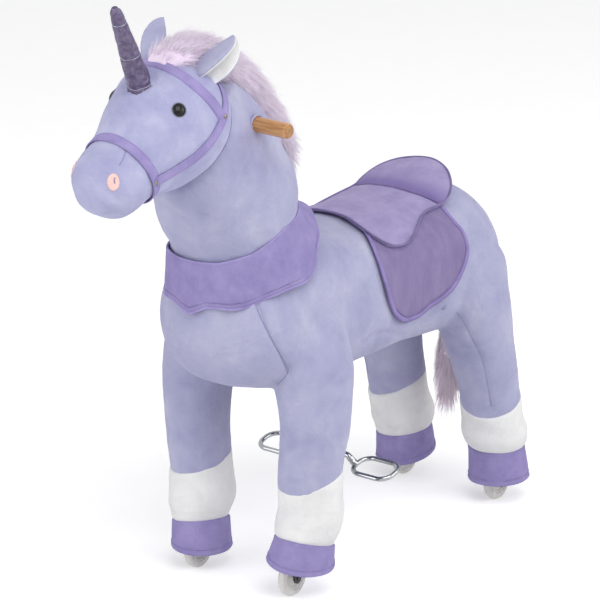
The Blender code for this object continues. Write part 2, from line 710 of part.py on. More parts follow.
def make_bridle():
    """Noseband, cheek straps, headband and throat strap, sewn together as one piece."""
    nose_rivet, cheek_rivet = yz(-0.497, 0.664), yz(-0.386, 0.738)
    bridle = strap_band("bridle", yz(-0.497, 0.678), yz(-0.92, -0.39), finish=STRAP, parent=STEER_HINGE)
    crown = yz(-0.447, 0.800)
    along = (crown - cheek_rivet).normalized()
    above = box("above_cheek_rivet", (-0.2, -0.52, 0.7330), (0.2, -0.34, 0.95), cutter=True)
    headband = strap_band("headband", cheek_rivet, yz(-along.z, along.y), above)
    around_horn = rod("around_horn", yz(-0.452, 0.746), yz(-0.487, 0.842), 0.0185, None, cutter=True)
    cut(headband, around_horn)
    along = (nose_rivet - cheek_rivet).normalized()
    low, high = (-0.2, -0.4970, 0.60), (0.2, -0.3860, 0.80)
    reach = box("cheek_reach", low, high, cutter=True)
    cheeks = strap_band("cheek_straps", cheek_rivet, yz(-along.z, along.y), reach)
    for strap in (cheeks, headband):
        boolean(bridle, strap, "UNION")


def make_front_frame():
    for word, side in SIDES:
        leg = tube(f"front_leg_tube_{word}", mirrored(FRONT_TUBE, side), LEG_TUBE_R, STEEL, smoothness=3)
        foot = Vector((side * HALF_TRACK, -HALF_BASE, 0.020))
        stem_bore = rod(f"stem_bore_{word}", foot, foot + Z * 0.099, STEM_R + 0.0009, None, cutter=True)
        cut(leg, stem_bore)
    half = X * CROSS_HALF
    cross = rod("front_cross_tube", FRONT_CROSS - half, FRONT_CROSS + half, LEG_TUBE_R, STEEL)
    for word, side in SIDES:
        path = mirrored(FRONT_TUBE, side)
        cut(cross, tube(f"round_front_leg_{word}", path, LEG_TUBE_R + GAP, None, cutter=True, smoothness=3))

    around_cross = bore("round_front_cross", FRONT_CROSS, LEG_TUBE_R + GAP, sides=16)
    head_tube = rod("head_tube", steer_point(0.392), steer_point(0.476), HEAD_TUBE_R, STEEL, sides=18)
    cut(head_tube, around_cross,
        rod("post_bore_in_head_tube", steer_point(0.36), steer_point(0.50), POST_R + GAP, None, cutter=True))

    bolt_bore = bore("bolt_bore", PIVOT, BOLT_R + 0.0006)
    rails = box("front_rails", (-0.0320, -0.118, 0.438), (0.0320, -0.088, 0.4662), STEEL)
    for word, side in SIDES:
        shift = X * side * RAIL_X
        rail = rod(f"rail_{word}", FRONT_CROSS + shift, PIVOT + shift, RAIL_R, None, cutter=True, sides=12)
        eye = rod(f"rail_eye_{word}", PIVOT + shift - X * 0.008, PIVOT + shift + X * 0.008, RAIL_EYE_R, None,
                  cutter=True, sides=14)
        boolean(rails, rail, "UNION")
        boolean(rails, eye, "UNION")
    cut(rails, around_cross, bolt_bore)
    rod("pivot_bolt", PIVOT - X * BOLT_HALF, PIVOT + X * BOLT_HALF, BOLT_R, CHROME, sides=14)
    board = box("seat_board", (-0.060, -0.135, 0.4668), (0.060, 0.055, 0.4760), BOARD)
    bevel = board.modifiers.new("rounded_corners", "BEVEL")
    bevel.width = 0.004
    bevel.segments = 2

    outline = capsule_outline(PEDAL_PIVOT, FRONT_CROSS, 0.0125)
    hanger = add("pedal_hanger", outline_mesh("pedal_hanger", outline, 0, 0.030), STEEL)
    around_head_tube = rod("round_head_tube", steer_point(0.36), steer_point(0.50), HEAD_TUBE_R + GAP, None,
                           cutter=True)
    shaft_bore = bore("pedal_shaft_bore", PEDAL_PIVOT, SHAFT_R + GAP, sides=16)
    cut(hanger, around_cross, shaft_bore, around_head_tube)


def make_rear_frame():
    for word, side in SIDES:
        path = mirrored(REAR_TUBE, side)
        leg = tube(f"rear_leg_tube_{word}", path, LEG_TUBE_R, STEEL, REAR_PIVOT, smoothness=3)
        foot = Vector((side * HALF_TRACK, HALF_BASE, 0.020))
        stem_bore = rod(f"rear_stem_bore_{word}", foot, foot + Z * 0.084, STEM_R + GAP, None, cutter=True)
        cut(leg, stem_bore)
    half = X * CROSS_HALF
    cross = rod("rear_cross_tube", REAR_CROSS - half, REAR_CROSS + half, LEG_TUBE_R, STEEL, REAR_PIVOT)
    for word, side in SIDES:
        path = mirrored(REAR_TUBE, side)
        cut(cross, tube(f"round_rear_leg_{word}", path, LEG_TUBE_R + GAP, None, cutter=True, smoothness=3))
    around_cross = bore("round_rear_cross", REAR_CROSS, LEG_TUBE_R + GAP, sides=16)
    spine = rod("rear_spine", REAR_CROSS, PIVOT, SPINE_R, STEEL, REAR_PIVOT)
    half = X * SLEEVE_HALF
    sleeve = rod("spine_sleeve", PIVOT - half, PIVOT + half, SLEEVE_R, None, cutter=True, sides=14)
    boolean(spine, sleeve, "UNION")
    cut(spine, around_cross, bore("sleeve_bore", PIVOT, BOLT_R + GAP))
    # The lug that the pull links hold is welded to the spine's lower end.
    on_spine = REAR_CROSS.lerp(PIVOT, 0.28)
    outline = capsule_outline(LINK_REAR, on_spine, 0.010, steps=5)
    lug = add("link_lug", outline_mesh("link_lug", outline, 0, 0.012), None, cutter=True)
    boolean(spine, lug, "UNION")
    cut(spine, around_cross, bore("link_pin_bore", LINK_REAR, REAR_PIN_R + GAP))
    half = X * REAR_PIN_HALF
    rod("rear_link_pin", LINK_REAR - half, LINK_REAR + half, REAR_PIN_R, CHROME, REAR_PIVOT, sides=14)


def make_wheels():
    for end, sign in (("front", -1), ("rear", 1)):
        for word, side in SIDES:
            hub = Vector((side * HALF_TRACK, sign * HALF_BASE, WHEEL_R))
            if end == "front":
                carrier = new_empty(f"fork_hinge_{word}", hub, HORSE)
                name, stem_top = f"front_fork_{word}", 0.118
            else:
                carrier = REAR_PIVOT
                name, stem_top = f"rear_bracket_{word}", 0.103
            fork = rod(name, hub + Z * 0.031, yz(hub.y, stem_top, hub.x), STEM_R, STEEL, carrier, sides=12)
            crown = rod(f"crown_{end}_{word}", hub + Z * 0.0305, hub + Z * 0.0345, 0.0155, None, cutter=True)
            boolean(fork, crown, "UNION")
            for face in (-1, 1):
                top = yz(hub.y, hub.z + 0.0315, hub.x)
                outline = capsule_outline(hub, top, 0.0075, steps=4)
                cheek = add(f"cheek_{end}_{word}_{face + 1}",
                            outline_mesh("cheek", outline, hub.x + face * 0.0100, 0.0030), None, cutter=True)
                boolean(fork, cheek, "UNION")
            half = X * AXLE_HALF
            axle = rod(f"axle_{end}_{word}", hub - half, hub + half, AXLE_R, None, cutter=True, sides=10)
            boolean(fork, axle, "UNION")
            make_wheel(f"{end}_wheel_{word}", hub, carrier)


def make_wheel(name, hub, carrier):
    """A turned wheel with a crowned tread, a recessed web and a hub bored for the axle."""
    half = WHEEL_W / 2
    one_side = (
        (AXLE_R + 0.0006, half), (0.0080, half), (0.0080, half - 0.003), (0.0195, half - 0.003),
        (0.0195, half), (0.0240, half), (WHEEL_R, 0.0025),
    )
    profile = one_side + tuple((r, -x) for r, x in reversed(one_side))
    # Half a step of turn lays a flat of the tread on the ground.
    turn = math.pi / WHEEL_SIDES
    bm = bmesh.new()
    ring = []
    for r, x in profile:
        corner = r / math.cos(turn)
        ring.append(bm.verts.new((x, corner * math.sin(turn), -corner * math.cos(turn))))
    for first, second in zip(ring, ring[1:] + ring[:1]):
        bm.edges.new((first, second))
    mesh = bpy.data.meshes.new(name)
    bm.to_mesh(mesh)
    bm.free()
    wheel_hinge = new_empty(name + "_hinge", hub, carrier)
    mesh.transform(Matrix.Translation(hub))
    wheel = add(name, mesh, TREAD, wheel_hinge)
    screw = wheel.modifiers.new("turned", "SCREW")
    screw.axis = "X"
    screw.angle = 2 * math.pi
    screw.steps = WHEEL_SIDES
    screw.render_steps = WHEEL_SIDES
    screw.use_merge_vertices = True
    screw.merge_threshold = 1e-5


def make_pedals():
    rod("pedal_shaft", PEDAL_PIVOT - X * 0.036, PEDAL_PIVOT + X * 0.036, SHAFT_R, CHROME, PEDAL_HINGE)
    pin_bore = bore("front_pin_bore", LINK_FRONT, FRONT_PIN_R + GAP, sides=16)
    shaft_round = bore("round_pedal_shaft", PEDAL_PIVOT, SHAFT_R + GAP, sides=16)
    bar_round = bore("round_crossbar", STIRRUP_BAR, CROSSBAR_R + GAP)
    for word, side in SIDES:
        shift = X * side * ARM_X
        top, bottom = PEDAL_PIVOT + shift, STIRRUP_BAR + shift
        arm = rod(f"pedal_arm_{word}", top, bottom, ARM_R, CHROME, PEDAL_HINGE, sides=12)
        eye = rod(f"arm_eye_{word}", PEDAL_PIVOT + shift * 0.82, PEDAL_PIVOT + shift * 1.18, ARM_EYE_R, None,
                  cutter=True, sides=14)
        boolean(arm, eye, "UNION")
        cut(arm, shaft_round, pin_bore, bar_round)
    rod("link_pin", LINK_FRONT - X * 0.037, LINK_FRONT + X * 0.037, FRONT_PIN_R, CHROME, PEDAL_HINGE)
    rod("pedal_crossbar", STIRRUP_BAR - X * 0.048, STIRRUP_BAR + X * 0.048, CROSSBAR_R, CHROME, PEDAL_HINGE)

    # Each loop is a rounded rectangle of rod, its front lower than its rear.
    for word, side in SIDES:
        centre = Vector((side * 0.0870, -0.0530, 0.1350))
        points = []
        for sx, sy, first in ((1, 1, 0), (-1, 1, 90), (-1, -1, 180), (1, -1, 270)):
            for step in range(4):
                angle = math.radians(first + 30 * step)
                u = sx * (LOOP_HALF_X - LOOP_CORNER) + LOOP_CORNER * math.cos(angle)
                v = sy * (LOOP_HALF_Y - LOOP_CORNER) + LOOP_CORNER * math.sin(angle)
                points.append(centre + Vector((u, v * math.cos(LOOP_PITCH), v * math.sin(LOOP_PITCH))))
        loop = tube(f"stirrup_{word}", points, LOOP_R, CHROME, PEDAL_HINGE, closed=True,
                    resolution=2, smoothness=1)
        cut(loop, bar_round)


def make_links():
    for word, side in SIDES:
        outline = capsule_outline(LINK_FRONT, LINK_REAR, LINK_HALF, steps=6)
        mesh = outline_mesh(f"pull_link_{word}", outline, side * LINK_X, LINK_T)
        link = add(f"pull_link_{word}", mesh, CHROME, LINK_HINGE)
        front_eye = bore(f"link_eye_front_{word}", LINK_FRONT, FRONT_PIN_R + GAP)
        rear_eye = bore(f"link_eye_rear_{word}", LINK_REAR, REAR_PIN_R + REAR_PIN_SLACK)
        cut(link, front_eye, rear_eye)


BORES = fold_frame_cutters()
make_plush_body(BORES)
make_feet(BORES)
make_tail()
make_saddle()
make_collar()
make_neck_and_head()
make_bridle()
make_front_frame()
make_rear_frame()
make_wheels()
make_pedals()
make_links()
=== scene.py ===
"""A plush unicorn ride-on that walks on four small wheels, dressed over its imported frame."""

import math

import bmesh
import bpy
import numpy as np
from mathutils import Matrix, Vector, noise
from mathutils.bvhtree import BVHTree


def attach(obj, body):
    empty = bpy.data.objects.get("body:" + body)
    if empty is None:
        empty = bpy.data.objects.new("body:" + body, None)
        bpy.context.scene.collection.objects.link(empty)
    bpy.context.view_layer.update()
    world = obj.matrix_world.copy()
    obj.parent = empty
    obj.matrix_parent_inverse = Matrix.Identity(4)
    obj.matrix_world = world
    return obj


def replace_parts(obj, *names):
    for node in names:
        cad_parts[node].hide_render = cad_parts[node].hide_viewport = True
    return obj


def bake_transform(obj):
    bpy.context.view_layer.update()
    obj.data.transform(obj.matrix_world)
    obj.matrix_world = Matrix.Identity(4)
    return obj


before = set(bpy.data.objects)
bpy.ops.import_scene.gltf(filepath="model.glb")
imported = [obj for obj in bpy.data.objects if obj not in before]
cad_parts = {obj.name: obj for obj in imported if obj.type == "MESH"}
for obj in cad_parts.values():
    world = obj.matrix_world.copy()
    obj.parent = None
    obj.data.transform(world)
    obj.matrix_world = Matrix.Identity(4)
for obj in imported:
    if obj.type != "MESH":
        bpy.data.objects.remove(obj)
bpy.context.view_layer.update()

MM = 0.001
BASE_Y = 0.1350  # the toy is drawn about its saddle pivot, and the row frame's middle lies this far back
BASE = np.array((0.0, BASE_Y, 0.0))
SIDES = (("left", 1), ("right", -1))
ACROSS = np.array((1.0, 0.0, 0.0))
draw = np.random.default_rng(17)


# Finishes


def linear(hex_value):
    """An sRGB hex colour as the linear RGBA that a shader takes."""
    parts = [int(hex_value[i : i + 2], 16) / 255 for i in (1, 3, 5)]
    return tuple(c / 12.92 if c <= 0.04045 else ((c + 0.055) / 1.055) ** 2.4 for c in parts) + (1.0,)


def add_node(tree, kind, settings=None, links=None):
    """Adds a shader node. A setting names an attribute, a socket or a ramp's stops.

    A link names the input that a socket, or the first output of a node, feeds."""
    made = tree.nodes.new("ShaderNode" + kind)
    for name, value in (settings or {}).items():
        if name == "stops":
            ramp = made.color_ramp
            for place, (at, colour) in enumerate(value):
                stop = ramp.elements[place] if place < 2 else ramp.elements.new(at)
                stop.position, stop.color = at, linear(colour)
        elif isinstance(name, str) and hasattr(made, name):
            setattr(made, name, value)
        else:
            made.inputs[name].default_value = value
    for name, source in (links or {}).items():
        socket = source if isinstance(source, bpy.types.NodeSocket) else source.outputs[0]
        tree.links.new(socket, made.inputs[name])
    return made


def start_finish(name):
    """An empty material, its node tree and the socket of places on the piece, in metres."""
    made = bpy.data.materials.new(name)
    made.use_nodes = True
    tree = made.node_tree
    tree.nodes.clear()
    return made, tree, add_node(tree, "TexCoord").outputs["Object"]


def close_finish(tree, colour, settings, bump=None, links=None):
    """The surface and output that end a material. Bump is a strength, a height in mm and what it follows."""
    links = dict(links or {})
    if colour:
        links["Base Color"] = colour
    if bump:
        strength, high_mm, heights = bump
        links["Normal"] = add_node(tree, "Bump", {"Strength": strength, "Distance": high_mm * MM},
                                   {"Height": heights})
    surface = add_node(tree, "BsdfPrincipled", settings, links)
    add_node(tree, "OutputMaterial", links={"Surface": surface})


def per_metre(size_mm):
    """A pattern's scale from the size of one feature."""
    return 1 / (size_mm * MM)


def mottled(tree, fine, share, broad, low, high, tones, middle=0.5):
    """Three tones over a broad pattern with a share of a fine one, spread between two levels."""
    both = add_node(tree, "Math", {"operation": "MULTIPLY_ADD", 1: share}, {0: fine, 2: broad})
    spread = add_node(tree, "MapRange", {"From Min": low, "From Max": high}, {"Value": both})
    return add_node(tree, "ValToRGB", {"stops": [(0.0, tones[0]), (1.0, tones[2]), (middle, tones[1])]},
                    {"Fac": spread})


def brushed_plush(name, tones, sheen_tone, patch_mm=70):
    """Sheared polyester pile on a knit, brushed. Matt, mottled where it lies over, pale at its edge."""
    # pile of a third of a millimetre is too fine for the picture, so it is drawn coarser
    stroke_mm, pile_mm = 17, 2.4
    made, tree, place = start_finish(name)
    wander = add_node(tree, "TexNoise", {"Scale": per_metre(90), "Detail": 1.0}, {"Vector": place})
    bent = add_node(tree, "VectorMath", {"operation": "MULTIPLY_ADD", 1: (0.05, 0.05, 0.05)},
                    {0: wander.outputs["Color"], 2: place})
    patch = add_node(tree, "TexNoise", {"Scale": per_metre(patch_mm), "Detail": 3.0, "Roughness": 0.55},
                     {"Vector": bent})
    stroke = add_node(tree, "TexNoise", {"Scale": per_metre(stroke_mm), "Detail": 3.0, "Roughness": 0.6},
                      {"Vector": bent})
    tuft = add_node(tree, "TexNoise", {"Scale": per_metre(pile_mm), "Detail": 2.0, "Roughness": 0.7},
                    {"Vector": place})
    broad = add_node(tree, "Math", {"operation": "MULTIPLY_ADD", 1: 0.30}, {0: stroke, 2: patch})
    colour = mottled(tree, tuft, 0.16, broad, 0.46, 1.00, tones)
    hills = add_node(tree, "Math", {"operation": "MULTIPLY_ADD", 1: 3.5}, {0: stroke, 2: tuft})
    close_finish(tree, colour,
                 {"Roughness": 0.92, "IOR": 1.5, "Specular IOR Level": 0.18, "Sheen Weight": 0.42,
                  "Sheen Roughness": 0.42, "Sheen Tint": linear(sheen_tone)}, (0.55, 1.1, hills))
    return made


def pressed_felt(name, tones, sheen_tone, stretch=(1.0, 1.0, 1.0), nap_mm=1.9, crease_shade_tone=None):
    """Knitted suede cloth with a short brushed nap. Matt and even, with faint strokes from hands."""
    made, tree, place = start_finish(name)
    along = add_node(tree, "Mapping", {"Scale": stretch}, {"Vector": place})
    stroke = add_node(tree, "TexNoise", {"Scale": per_metre(26), "Detail": 4.0, "Roughness": 0.6},
                      {"Vector": along})
    nap = add_node(tree, "TexNoise", {"Scale": per_metre(nap_mm), "Detail": 2.0, "Roughness": 0.65},
                   {"Vector": place})
    colour = mottled(tree, nap, 0.35, stroke, 0.48, 0.88, tones)
    if crease_shade_tone:  # painted shade: a darker tone mixed in where a fold of the cloth lies in shade
        crease_shade_share = add_node(tree, "Attribute", {"attribute_name": "painted_crease_shade"})
        colour = add_node(tree, "Mix", {"data_type": "RGBA", 7: linear(crease_shade_tone)},
                          {"Factor": crease_shade_share.outputs["Fac"], 6: colour}).outputs[2]
    close_finish(tree, colour, {"Roughness": 0.88, "IOR": 1.5, "Specular IOR Level": 0.2, "Sheen Weight": 0.3,
                                "Sheen Roughness": 0.4, "Sheen Tint": linear(sheen_tone)}, (0.45, 0.5, nap))
    return made


def long_pile(name, root, middle, tip):
    """Combed acrylic fur. Each hair is darker at its root, and the ends are pale and catch the light."""
    made, tree, place = start_finish(name)
    share = add_node(tree, "Attribute", {"attribute_name": "along_hair"})
    lock = add_node(tree, "TexNoise", {"Scale": per_metre(14), "Detail": 2.0}, {"Vector": place})
    colour = mottled(tree, lock, 0.55, share.outputs["Fac"], 0.12, 1.35, (root, middle, tip), 0.55)
    close_finish(tree, colour, {"Roughness": 0.7, "IOR": 1.5, "Specular IOR Level": 0.25,
                                "Sheen Weight": 0.35, "Sheen Roughness": 0.5, "Sheen Tint": linear(tip)})
    return made


def crumpled_satin(name):
    """Metallic satin sewn over a stuffed cone. Half gloss, with bright glints on its small folds."""
    made, tree, place = start_finish(name)
    fold = add_node(tree, "TexNoise",
                    {"Scale": per_metre(9), "Detail": 4.0, "Roughness": 0.6, "Distortion": 0.8},
                    {"Vector": place})
    grit = add_node(tree, "TexVoronoi", {"Scale": per_metre(1.4)}, {"Vector": place})
    colour = add_node(tree, "ValToRGB", {"stops": [(0.3, "#453C58"), (0.75, "#81758F"), (0.5, "#5E546F")]},
                      {"Fac": fold})
    glint = add_node(tree, "MapRange", {"To Min": 0.22, "To Max": 0.5}, {"Value": grit})
    heights = add_node(tree, "Math", {"operation": "MULTIPLY_ADD", 1: 0.15}, {0: grit, 2: fold})
    close_finish(tree, colour, {"Metallic": 0.55, "Sheen Weight": 0.2, "Sheen Tint": linear("#B9A9E0")},
                 (0.8, 1.6, heights), {"Roughness": glint})
    return made


def turned_beech(name, tones=("#A26F3E", "#BC8A56", "#CF9E6A")):
    """Beech dowel, turned and lacquered. Fine brown flecks along the grain and a soft gloss."""
    made, tree, place = start_finish(name)
    along = add_node(tree, "Mapping", {"Scale": (0.06, 1.0, 1.0)}, {"Vector": place})
    grain = add_node(tree, "TexNoise", {"Scale": per_metre(4.5), "Detail": 4.0, "Roughness": 0.6},
                     {"Vector": along})
    fleck = add_node(tree, "TexNoise", {"Scale": per_metre(1.3), "Detail": 2.0}, {"Vector": along})
    both = add_node(tree, "Math", {"operation": "MULTIPLY_ADD", 1: 0.5}, {0: fleck, 2: grain})
    colour = add_node(tree, "ValToRGB", {"stops": [(0.55, tones[0]), (0.95, tones[2]), (0.75, tones[1])]},
                      {"Fac": both})
    close_finish(tree, colour, {"Roughness": 0.42, "IOR": 1.5, "Coat Weight": 0.25, "Coat Roughness": 0.2},
                 (0.15, 0.2, fleck))
    return made


def plated_steel(name, tone, rough):
    """Bent steel rod, polished and chrome plated. A near mirror with faint drawing marks."""
    made, tree, place = start_finish(name)
    marks = add_node(tree, "TexNoise", {"Scale": per_metre(6), "Detail": 5.0, "Roughness": 0.7},
                     {"Vector": place})
    haze = add_node(tree, "MapRange", {"To Min": rough * 0.6, "To Max": rough * 1.6}, {"Value": marks})
    close_finish(tree, None, {"Metallic": 1.0, "Base Color": linear(tone)}, (0.06, 0.2, marks),
                 {"Roughness": haze})
    return made


def clouded(name, tones, low, cloud, settings, mark=None, bump=None):
    """A hard finish of two tones in clouds, with small marks: each a size in mm and a detail."""
    made, tree, place = start_finish(name)
    noises = [add_node(tree, "TexNoise", {"Scale": per_metre(size), "Detail": detail}, {"Vector": place})
              for size, detail in filter(None, (cloud, mark))]
    colour = add_node(tree, "ValToRGB", {"stops": [(low, tones[0]), (0.7, tones[1])]}, {"Fac": noises[0]})
    close_finish(tree, colour, settings, bump and (*bump, noises[1]))
    return made


def coated_steel(name, tones):
    """Welded steel tube, powder coated. A fine orange peel under a low gloss."""
    return clouded(name, tones, 0.35, (22, 4.0), {"Roughness": 0.48, "IOR": 1.5}, (1.6, 2.0), (0.2, 0.2))


def moulded_tread(name, tones, clearness, rough):
    """Soft clear PVC, moulded. Cloudy and grey-beige, with light passing through its rim and a wet gloss."""
    gloss = {"Roughness": rough, "IOR": 1.53, "Transmission Weight": clearness, "Subsurface Weight": 0.25,
             "Subsurface Radius": (0.01, 0.01, 0.009)}
    return clouded(name, tones, 0.3, (11, 3.0), gloss, (2, 4.0), (0.15, 0.3))


def glass_button(name):
    """Black moulded acrylic, polished like a shoe button. Nearly black, with sharp lights in it."""
    return clouded(name, ("#07070A", "#17161C"), 0.3, (5, 1.0),
                   {"Roughness": 0.07, "IOR": 1.49, "Specular IOR Level": 0.3})


def birch_ply(name):
    """Birch plywood, cut and left bare. Thin pale and brown layers on the edge, open grain on the face."""
    made, tree, place = start_finish(name)
    layers = add_node(tree, "TexWave", {"Scale": per_metre(9), "Distortion": 1.2, "bands_direction": "Z"},
                      {"Vector": place})
    grain = add_node(tree, "TexNoise", {"Scale": per_metre(7), "Detail": 4.0}, {"Vector": place})
    colour = add_node(tree, "Mix", {"data_type": "RGBA", 6: linear("#A9805A"), 7: linear("#D9BE94")},
                      {"Factor": layers.outputs["Fac"]})
    close_finish(tree, colour.outputs[2], {"Roughness": 0.75, "IOR": 1.5}, (0.3, 0.3, grain))
    return made


lavender_plush = brushed_plush("lavender_plush", ("#9898BA", "#A7A7C5", "#B7B8CE"), "#CECEDC")
cheek_plush = brushed_plush("cheek_plush", ("#9B9BC2", "#AAAACC", "#BABAD7"), "#D4D4E6", patch_mm=48)
white_plush = brushed_plush("white_plush", ("#DADADA", "#E2E2E2", "#EAEAE9"), "#F6F6F4", patch_mm=40)
# painted light: the white plush of the ear linings, made paler to offset the shade inside the ear
brightened_lining_plush = brushed_plush("brightened_lining_plush", ("#E4E4E4", "#EDEDEC", "#F4F4F3"), "#FAFAF8", patch_mm=30)
purple_felt = pressed_felt("purple_felt", ("#867CAD", "#8F85B4", "#988EBC"), "#AEA5CB")
saddle_suede = pressed_felt("saddle_suede", ("#7C7098", "#83779E", "#8A7FA4"), "#9C92B6",
                            stretch=(1.5, 1.5, 0.5))
# the seat's suede has a darker tone, painted as the shade in its crease
seat_suede = pressed_felt("seat_suede", ("#978CB6", "#A096BF", "#A99FC6"), "#BCB3D4", crease_shade_tone="#7C6DA3")
piping_cord = pressed_felt("piping_cord", ("#72678F", "#7D729B", "#897EA7"), "#9D93B9", nap_mm=1.2)
rim_felt = pressed_felt("rim_felt", ("#8275AB", "#8B7EB3", "#9588BB"), "#A89FC8", nap_mm=1.4)
strap_felt = pressed_felt("strap_felt", ("#8F84B6", "#998EBF", "#A398C7"), "#B8B0D6", nap_mm=1.4)
stitch_thread = pressed_felt("stitch_thread", ("#8579AC", "#8F83B5", "#998DBD"), "#A79DC6", nap_mm=0.8)
pink_pile = long_pile("pink_pile", "#E6D2EA", "#EFE2F2", "#FDFAFE")
# painted light: paler tones than the mane's, lifting the tail out of the body's shadow
brightened_tail_pile = long_pile("brightened_tail_pile", "#F4DEF0", "#FAEAF6", "#FFF8FD")
nostril_suede = pressed_felt("nostril_suede", ("#E8BCB4", "#F0C8C0", "#F6D4CC"), "#FFE8E0", nap_mm=1.4)
horn_satin = crumpled_satin("horn_satin")
seam_thread = pressed_felt("seam_thread", ("#8A8AAE", "#9494B6", "#9E9EBE"), "#B4B4CC", nap_mm=0.9)
# painted shade: a dark plush for the cord sunk in the neck crease, standing in for the shade there
painted_neck_crease_shade = brushed_plush("painted_neck_crease_shade", ("#74748F", "#7E7E9A", "#8989A4"), "#A0A0B8", patch_mm=30)
silver_thread = plated_steel("silver_thread", "#A9ABBA", 0.3)
beech_dowel = turned_beech("beech_dowel")
end_grain = turned_beech("end_grain", ("#8A5C34", "#A2713F", "#B5834E"))
chrome_rod = plated_steel("chrome_rod", "#A3A5A8", 0.10)
brass_rivet = plated_steel("brass_rivet", "#8E8678", 0.3)
painted_steel = coated_steel("painted_steel", ("#2B2C2F", "#3A3B3E"))
clear_tread = moulded_tread("clear_grey_tread", ("#E6E4DF", "#F4F2EE"), 0.28, 0.08)
# painted shade: a dark grey for the thin ring round each eye, where the eye sinks into the plush
painted_eye_shade = coated_steel("painted_eye_shade", ("#4A4C52", "#63656C"))
hub_plastic = moulded_tread("hub_plastic", ("#E6E4DE", "#F2F0EA"), 0.1, 0.3)
black_eye = glass_button("black_eye")
bare_ply = birch_ply("bare_ply")


# Shapes


def add_object(name, mesh, finish):
    """A mesh as a smooth object of the scene, with its finish."""
    mesh.shade_smooth()
    mesh.materials.append(finish)
    made = bpy.data.objects.new(name, mesh)
    bpy.context.scene.collection.objects.link(made)
    return made


def make_piece(name, points, faces, finish):
    """A closed mesh drawn about the pivot, set into the row frame with its faces turned outwards."""
    mesh = bpy.data.meshes.new(name)
    placed = np.asarray(points, float).reshape(-1, 3) + BASE
    mesh.from_pydata(placed.tolist(), [], [[int(corner) for corner in face] for face in faces])
    tidy = bmesh.new()
    tidy.from_mesh(mesh)
    bmesh.ops.remove_doubles(tidy, verts=tidy.verts, dist=1e-6)
    bmesh.ops.recalc_face_normals(tidy, faces=tidy.faces)
    tidy.to_mesh(mesh)
    tidy.free()
    return add_object(name, mesh, finish)


def apply_modifiers(piece):
    """Writes a piece's modifiers into its mesh."""
    bpy.context.view_layer.update()
    graph = bpy.context.evaluated_depsgraph_get()
    made = bpy.data.meshes.new_from_object(piece.evaluated_get(graph), depsgraph=graph)
    old = piece.data
    piece.modifiers.clear()
    piece.data = made
    bpy.data.meshes.remove(old)
    made.shade_smooth()
    return piece


def subdivided(piece):
    """A piece after one step of smooth subdivision."""
    more = piece.modifiers.new("finer", "SUBSURF")
    more.levels = more.render_levels = 1
    return apply_modifiers(piece)


def read_points(piece, kind):
    """One kind of value at each of a piece's points, as an array."""
    flat = np.empty(len(piece.data.vertices) * 3)
    piece.data.vertices.foreach_get(kind, flat)
    return flat.reshape(-1, 3)


def points_of(piece):
    """A piece's points about the pivot."""
    return read_points(piece, "co") - BASE


def normals_of(piece):
    """A piece's point normals."""
    return read_points(piece, "normal")


def move_points(piece, points):
    """Puts a piece's points where they are given, about the pivot."""
    piece.data.vertices.foreach_set("co", (points + BASE).ravel())
    piece.data.update()


def mark_points(mesh, name, values):
    """Gives each point of a mesh a number that its finish reads."""
    mesh.attributes.new(name, "FLOAT", "POINT").data.foreach_set("value", np.array(values, np.float32))


def stuffing(points, size_mm, seed):
    """The lumps of the stuffing under a skin: noise from -1 to 1 at each point."""
    scale = per_metre(size_mm)
    return np.array([noise.noise(Vector(point) * scale + Vector((seed, 0, 0))) for point in points])


def lump(piece, *layers):
    """Pushes a skin in and out along its normals. Each layer is a size and a height in millimetres."""
    points, normals = points_of(piece), normals_of(piece)
    rise = sum(stuffing(points, size, seed * 7.3) * high * MM for seed, (size, high) in enumerate(layers))
    move_points(piece, points + normals * rise[:, None])


def unit(vector):
    """A vector, or an array of them, at length one."""
    vector = np.asarray(vector, float)
    return vector / np.maximum(np.linalg.norm(vector, axis=-1, keepdims=True), 1e-12)


def finer(rows, steps):
    """Rows of numbers with steps between each two, on a smooth curve through all of them."""
    rows = np.asarray(rows, float)
    padded = np.vstack([2 * rows[0] - rows[1], rows, 2 * rows[-1] - rows[-2]])
    made = []
    for i in range(len(rows) - 1):
        a, b, c, d = padded[i : i + 4]
        for t in np.arange(steps) / steps:
            made.append(0.5 * (2 * b + (c - a) * t + (2 * a - 5 * b + 4 * c - d) * t**2
                               + (3 * b - a - 3 * c + d) * t**3))
    made.append(rows[-1])
    return np.array(made)


def turns_of(count):
    """The turns of evenly spaced places round a ring."""
    return 2 * math.pi * (np.arange(count) + 0.5) / count


def bulge_of(turn, power):
    """How far a squared-off circle of radius one reaches at each turn, as a share of its axes."""
    return (np.abs(np.cos(turn)) ** power + np.abs(np.sin(turn)) ** power) ** (-1 / power)


def on_side(line, side):
    """A line or a place that is drawn on the left, put on one side."""
    return np.array(line, float) * (side, 1, 1)


def ring(centre, facing, across, along, count, power=2.0, lean=ACROSS):
    """A squared-off ellipse of points round a centre, in the plane that the facing direction is normal to."""
    facing = unit(facing)
    side = unit(np.asarray(lean, float) - facing * np.dot(lean, facing))
    other = np.cross(facing, side)
    turn = turns_of(count)
    bulge = bulge_of(turn, power)
    return (np.asarray(centre, float) + np.outer(bulge * np.cos(turn) * across, side)
            + np.outer(bulge * np.sin(turn) * along, other))


def turned(profile, centre, count, around=False):
    """A shape turned about an axle across the toy, from offsets and radii. It ends, or goes all around."""
    rings = [ring(np.array(centre) + (offset, 0, 0), (1, 0, 0), radius, radius, count, lean=(0, 1, 0))
             for offset, radius in profile]
    return closed_skin(rings, open_tube=around)


def button(name, place, out, profile, count, finish):
    """A round button on a skin. Its profile is rises along the way out, and radii."""
    rings = [place + out * rise + ring((0, 0, 0), out, radius, radius, count) for rise, radius in profile]
    return make_piece(name, *closed_skin(rings), finish)


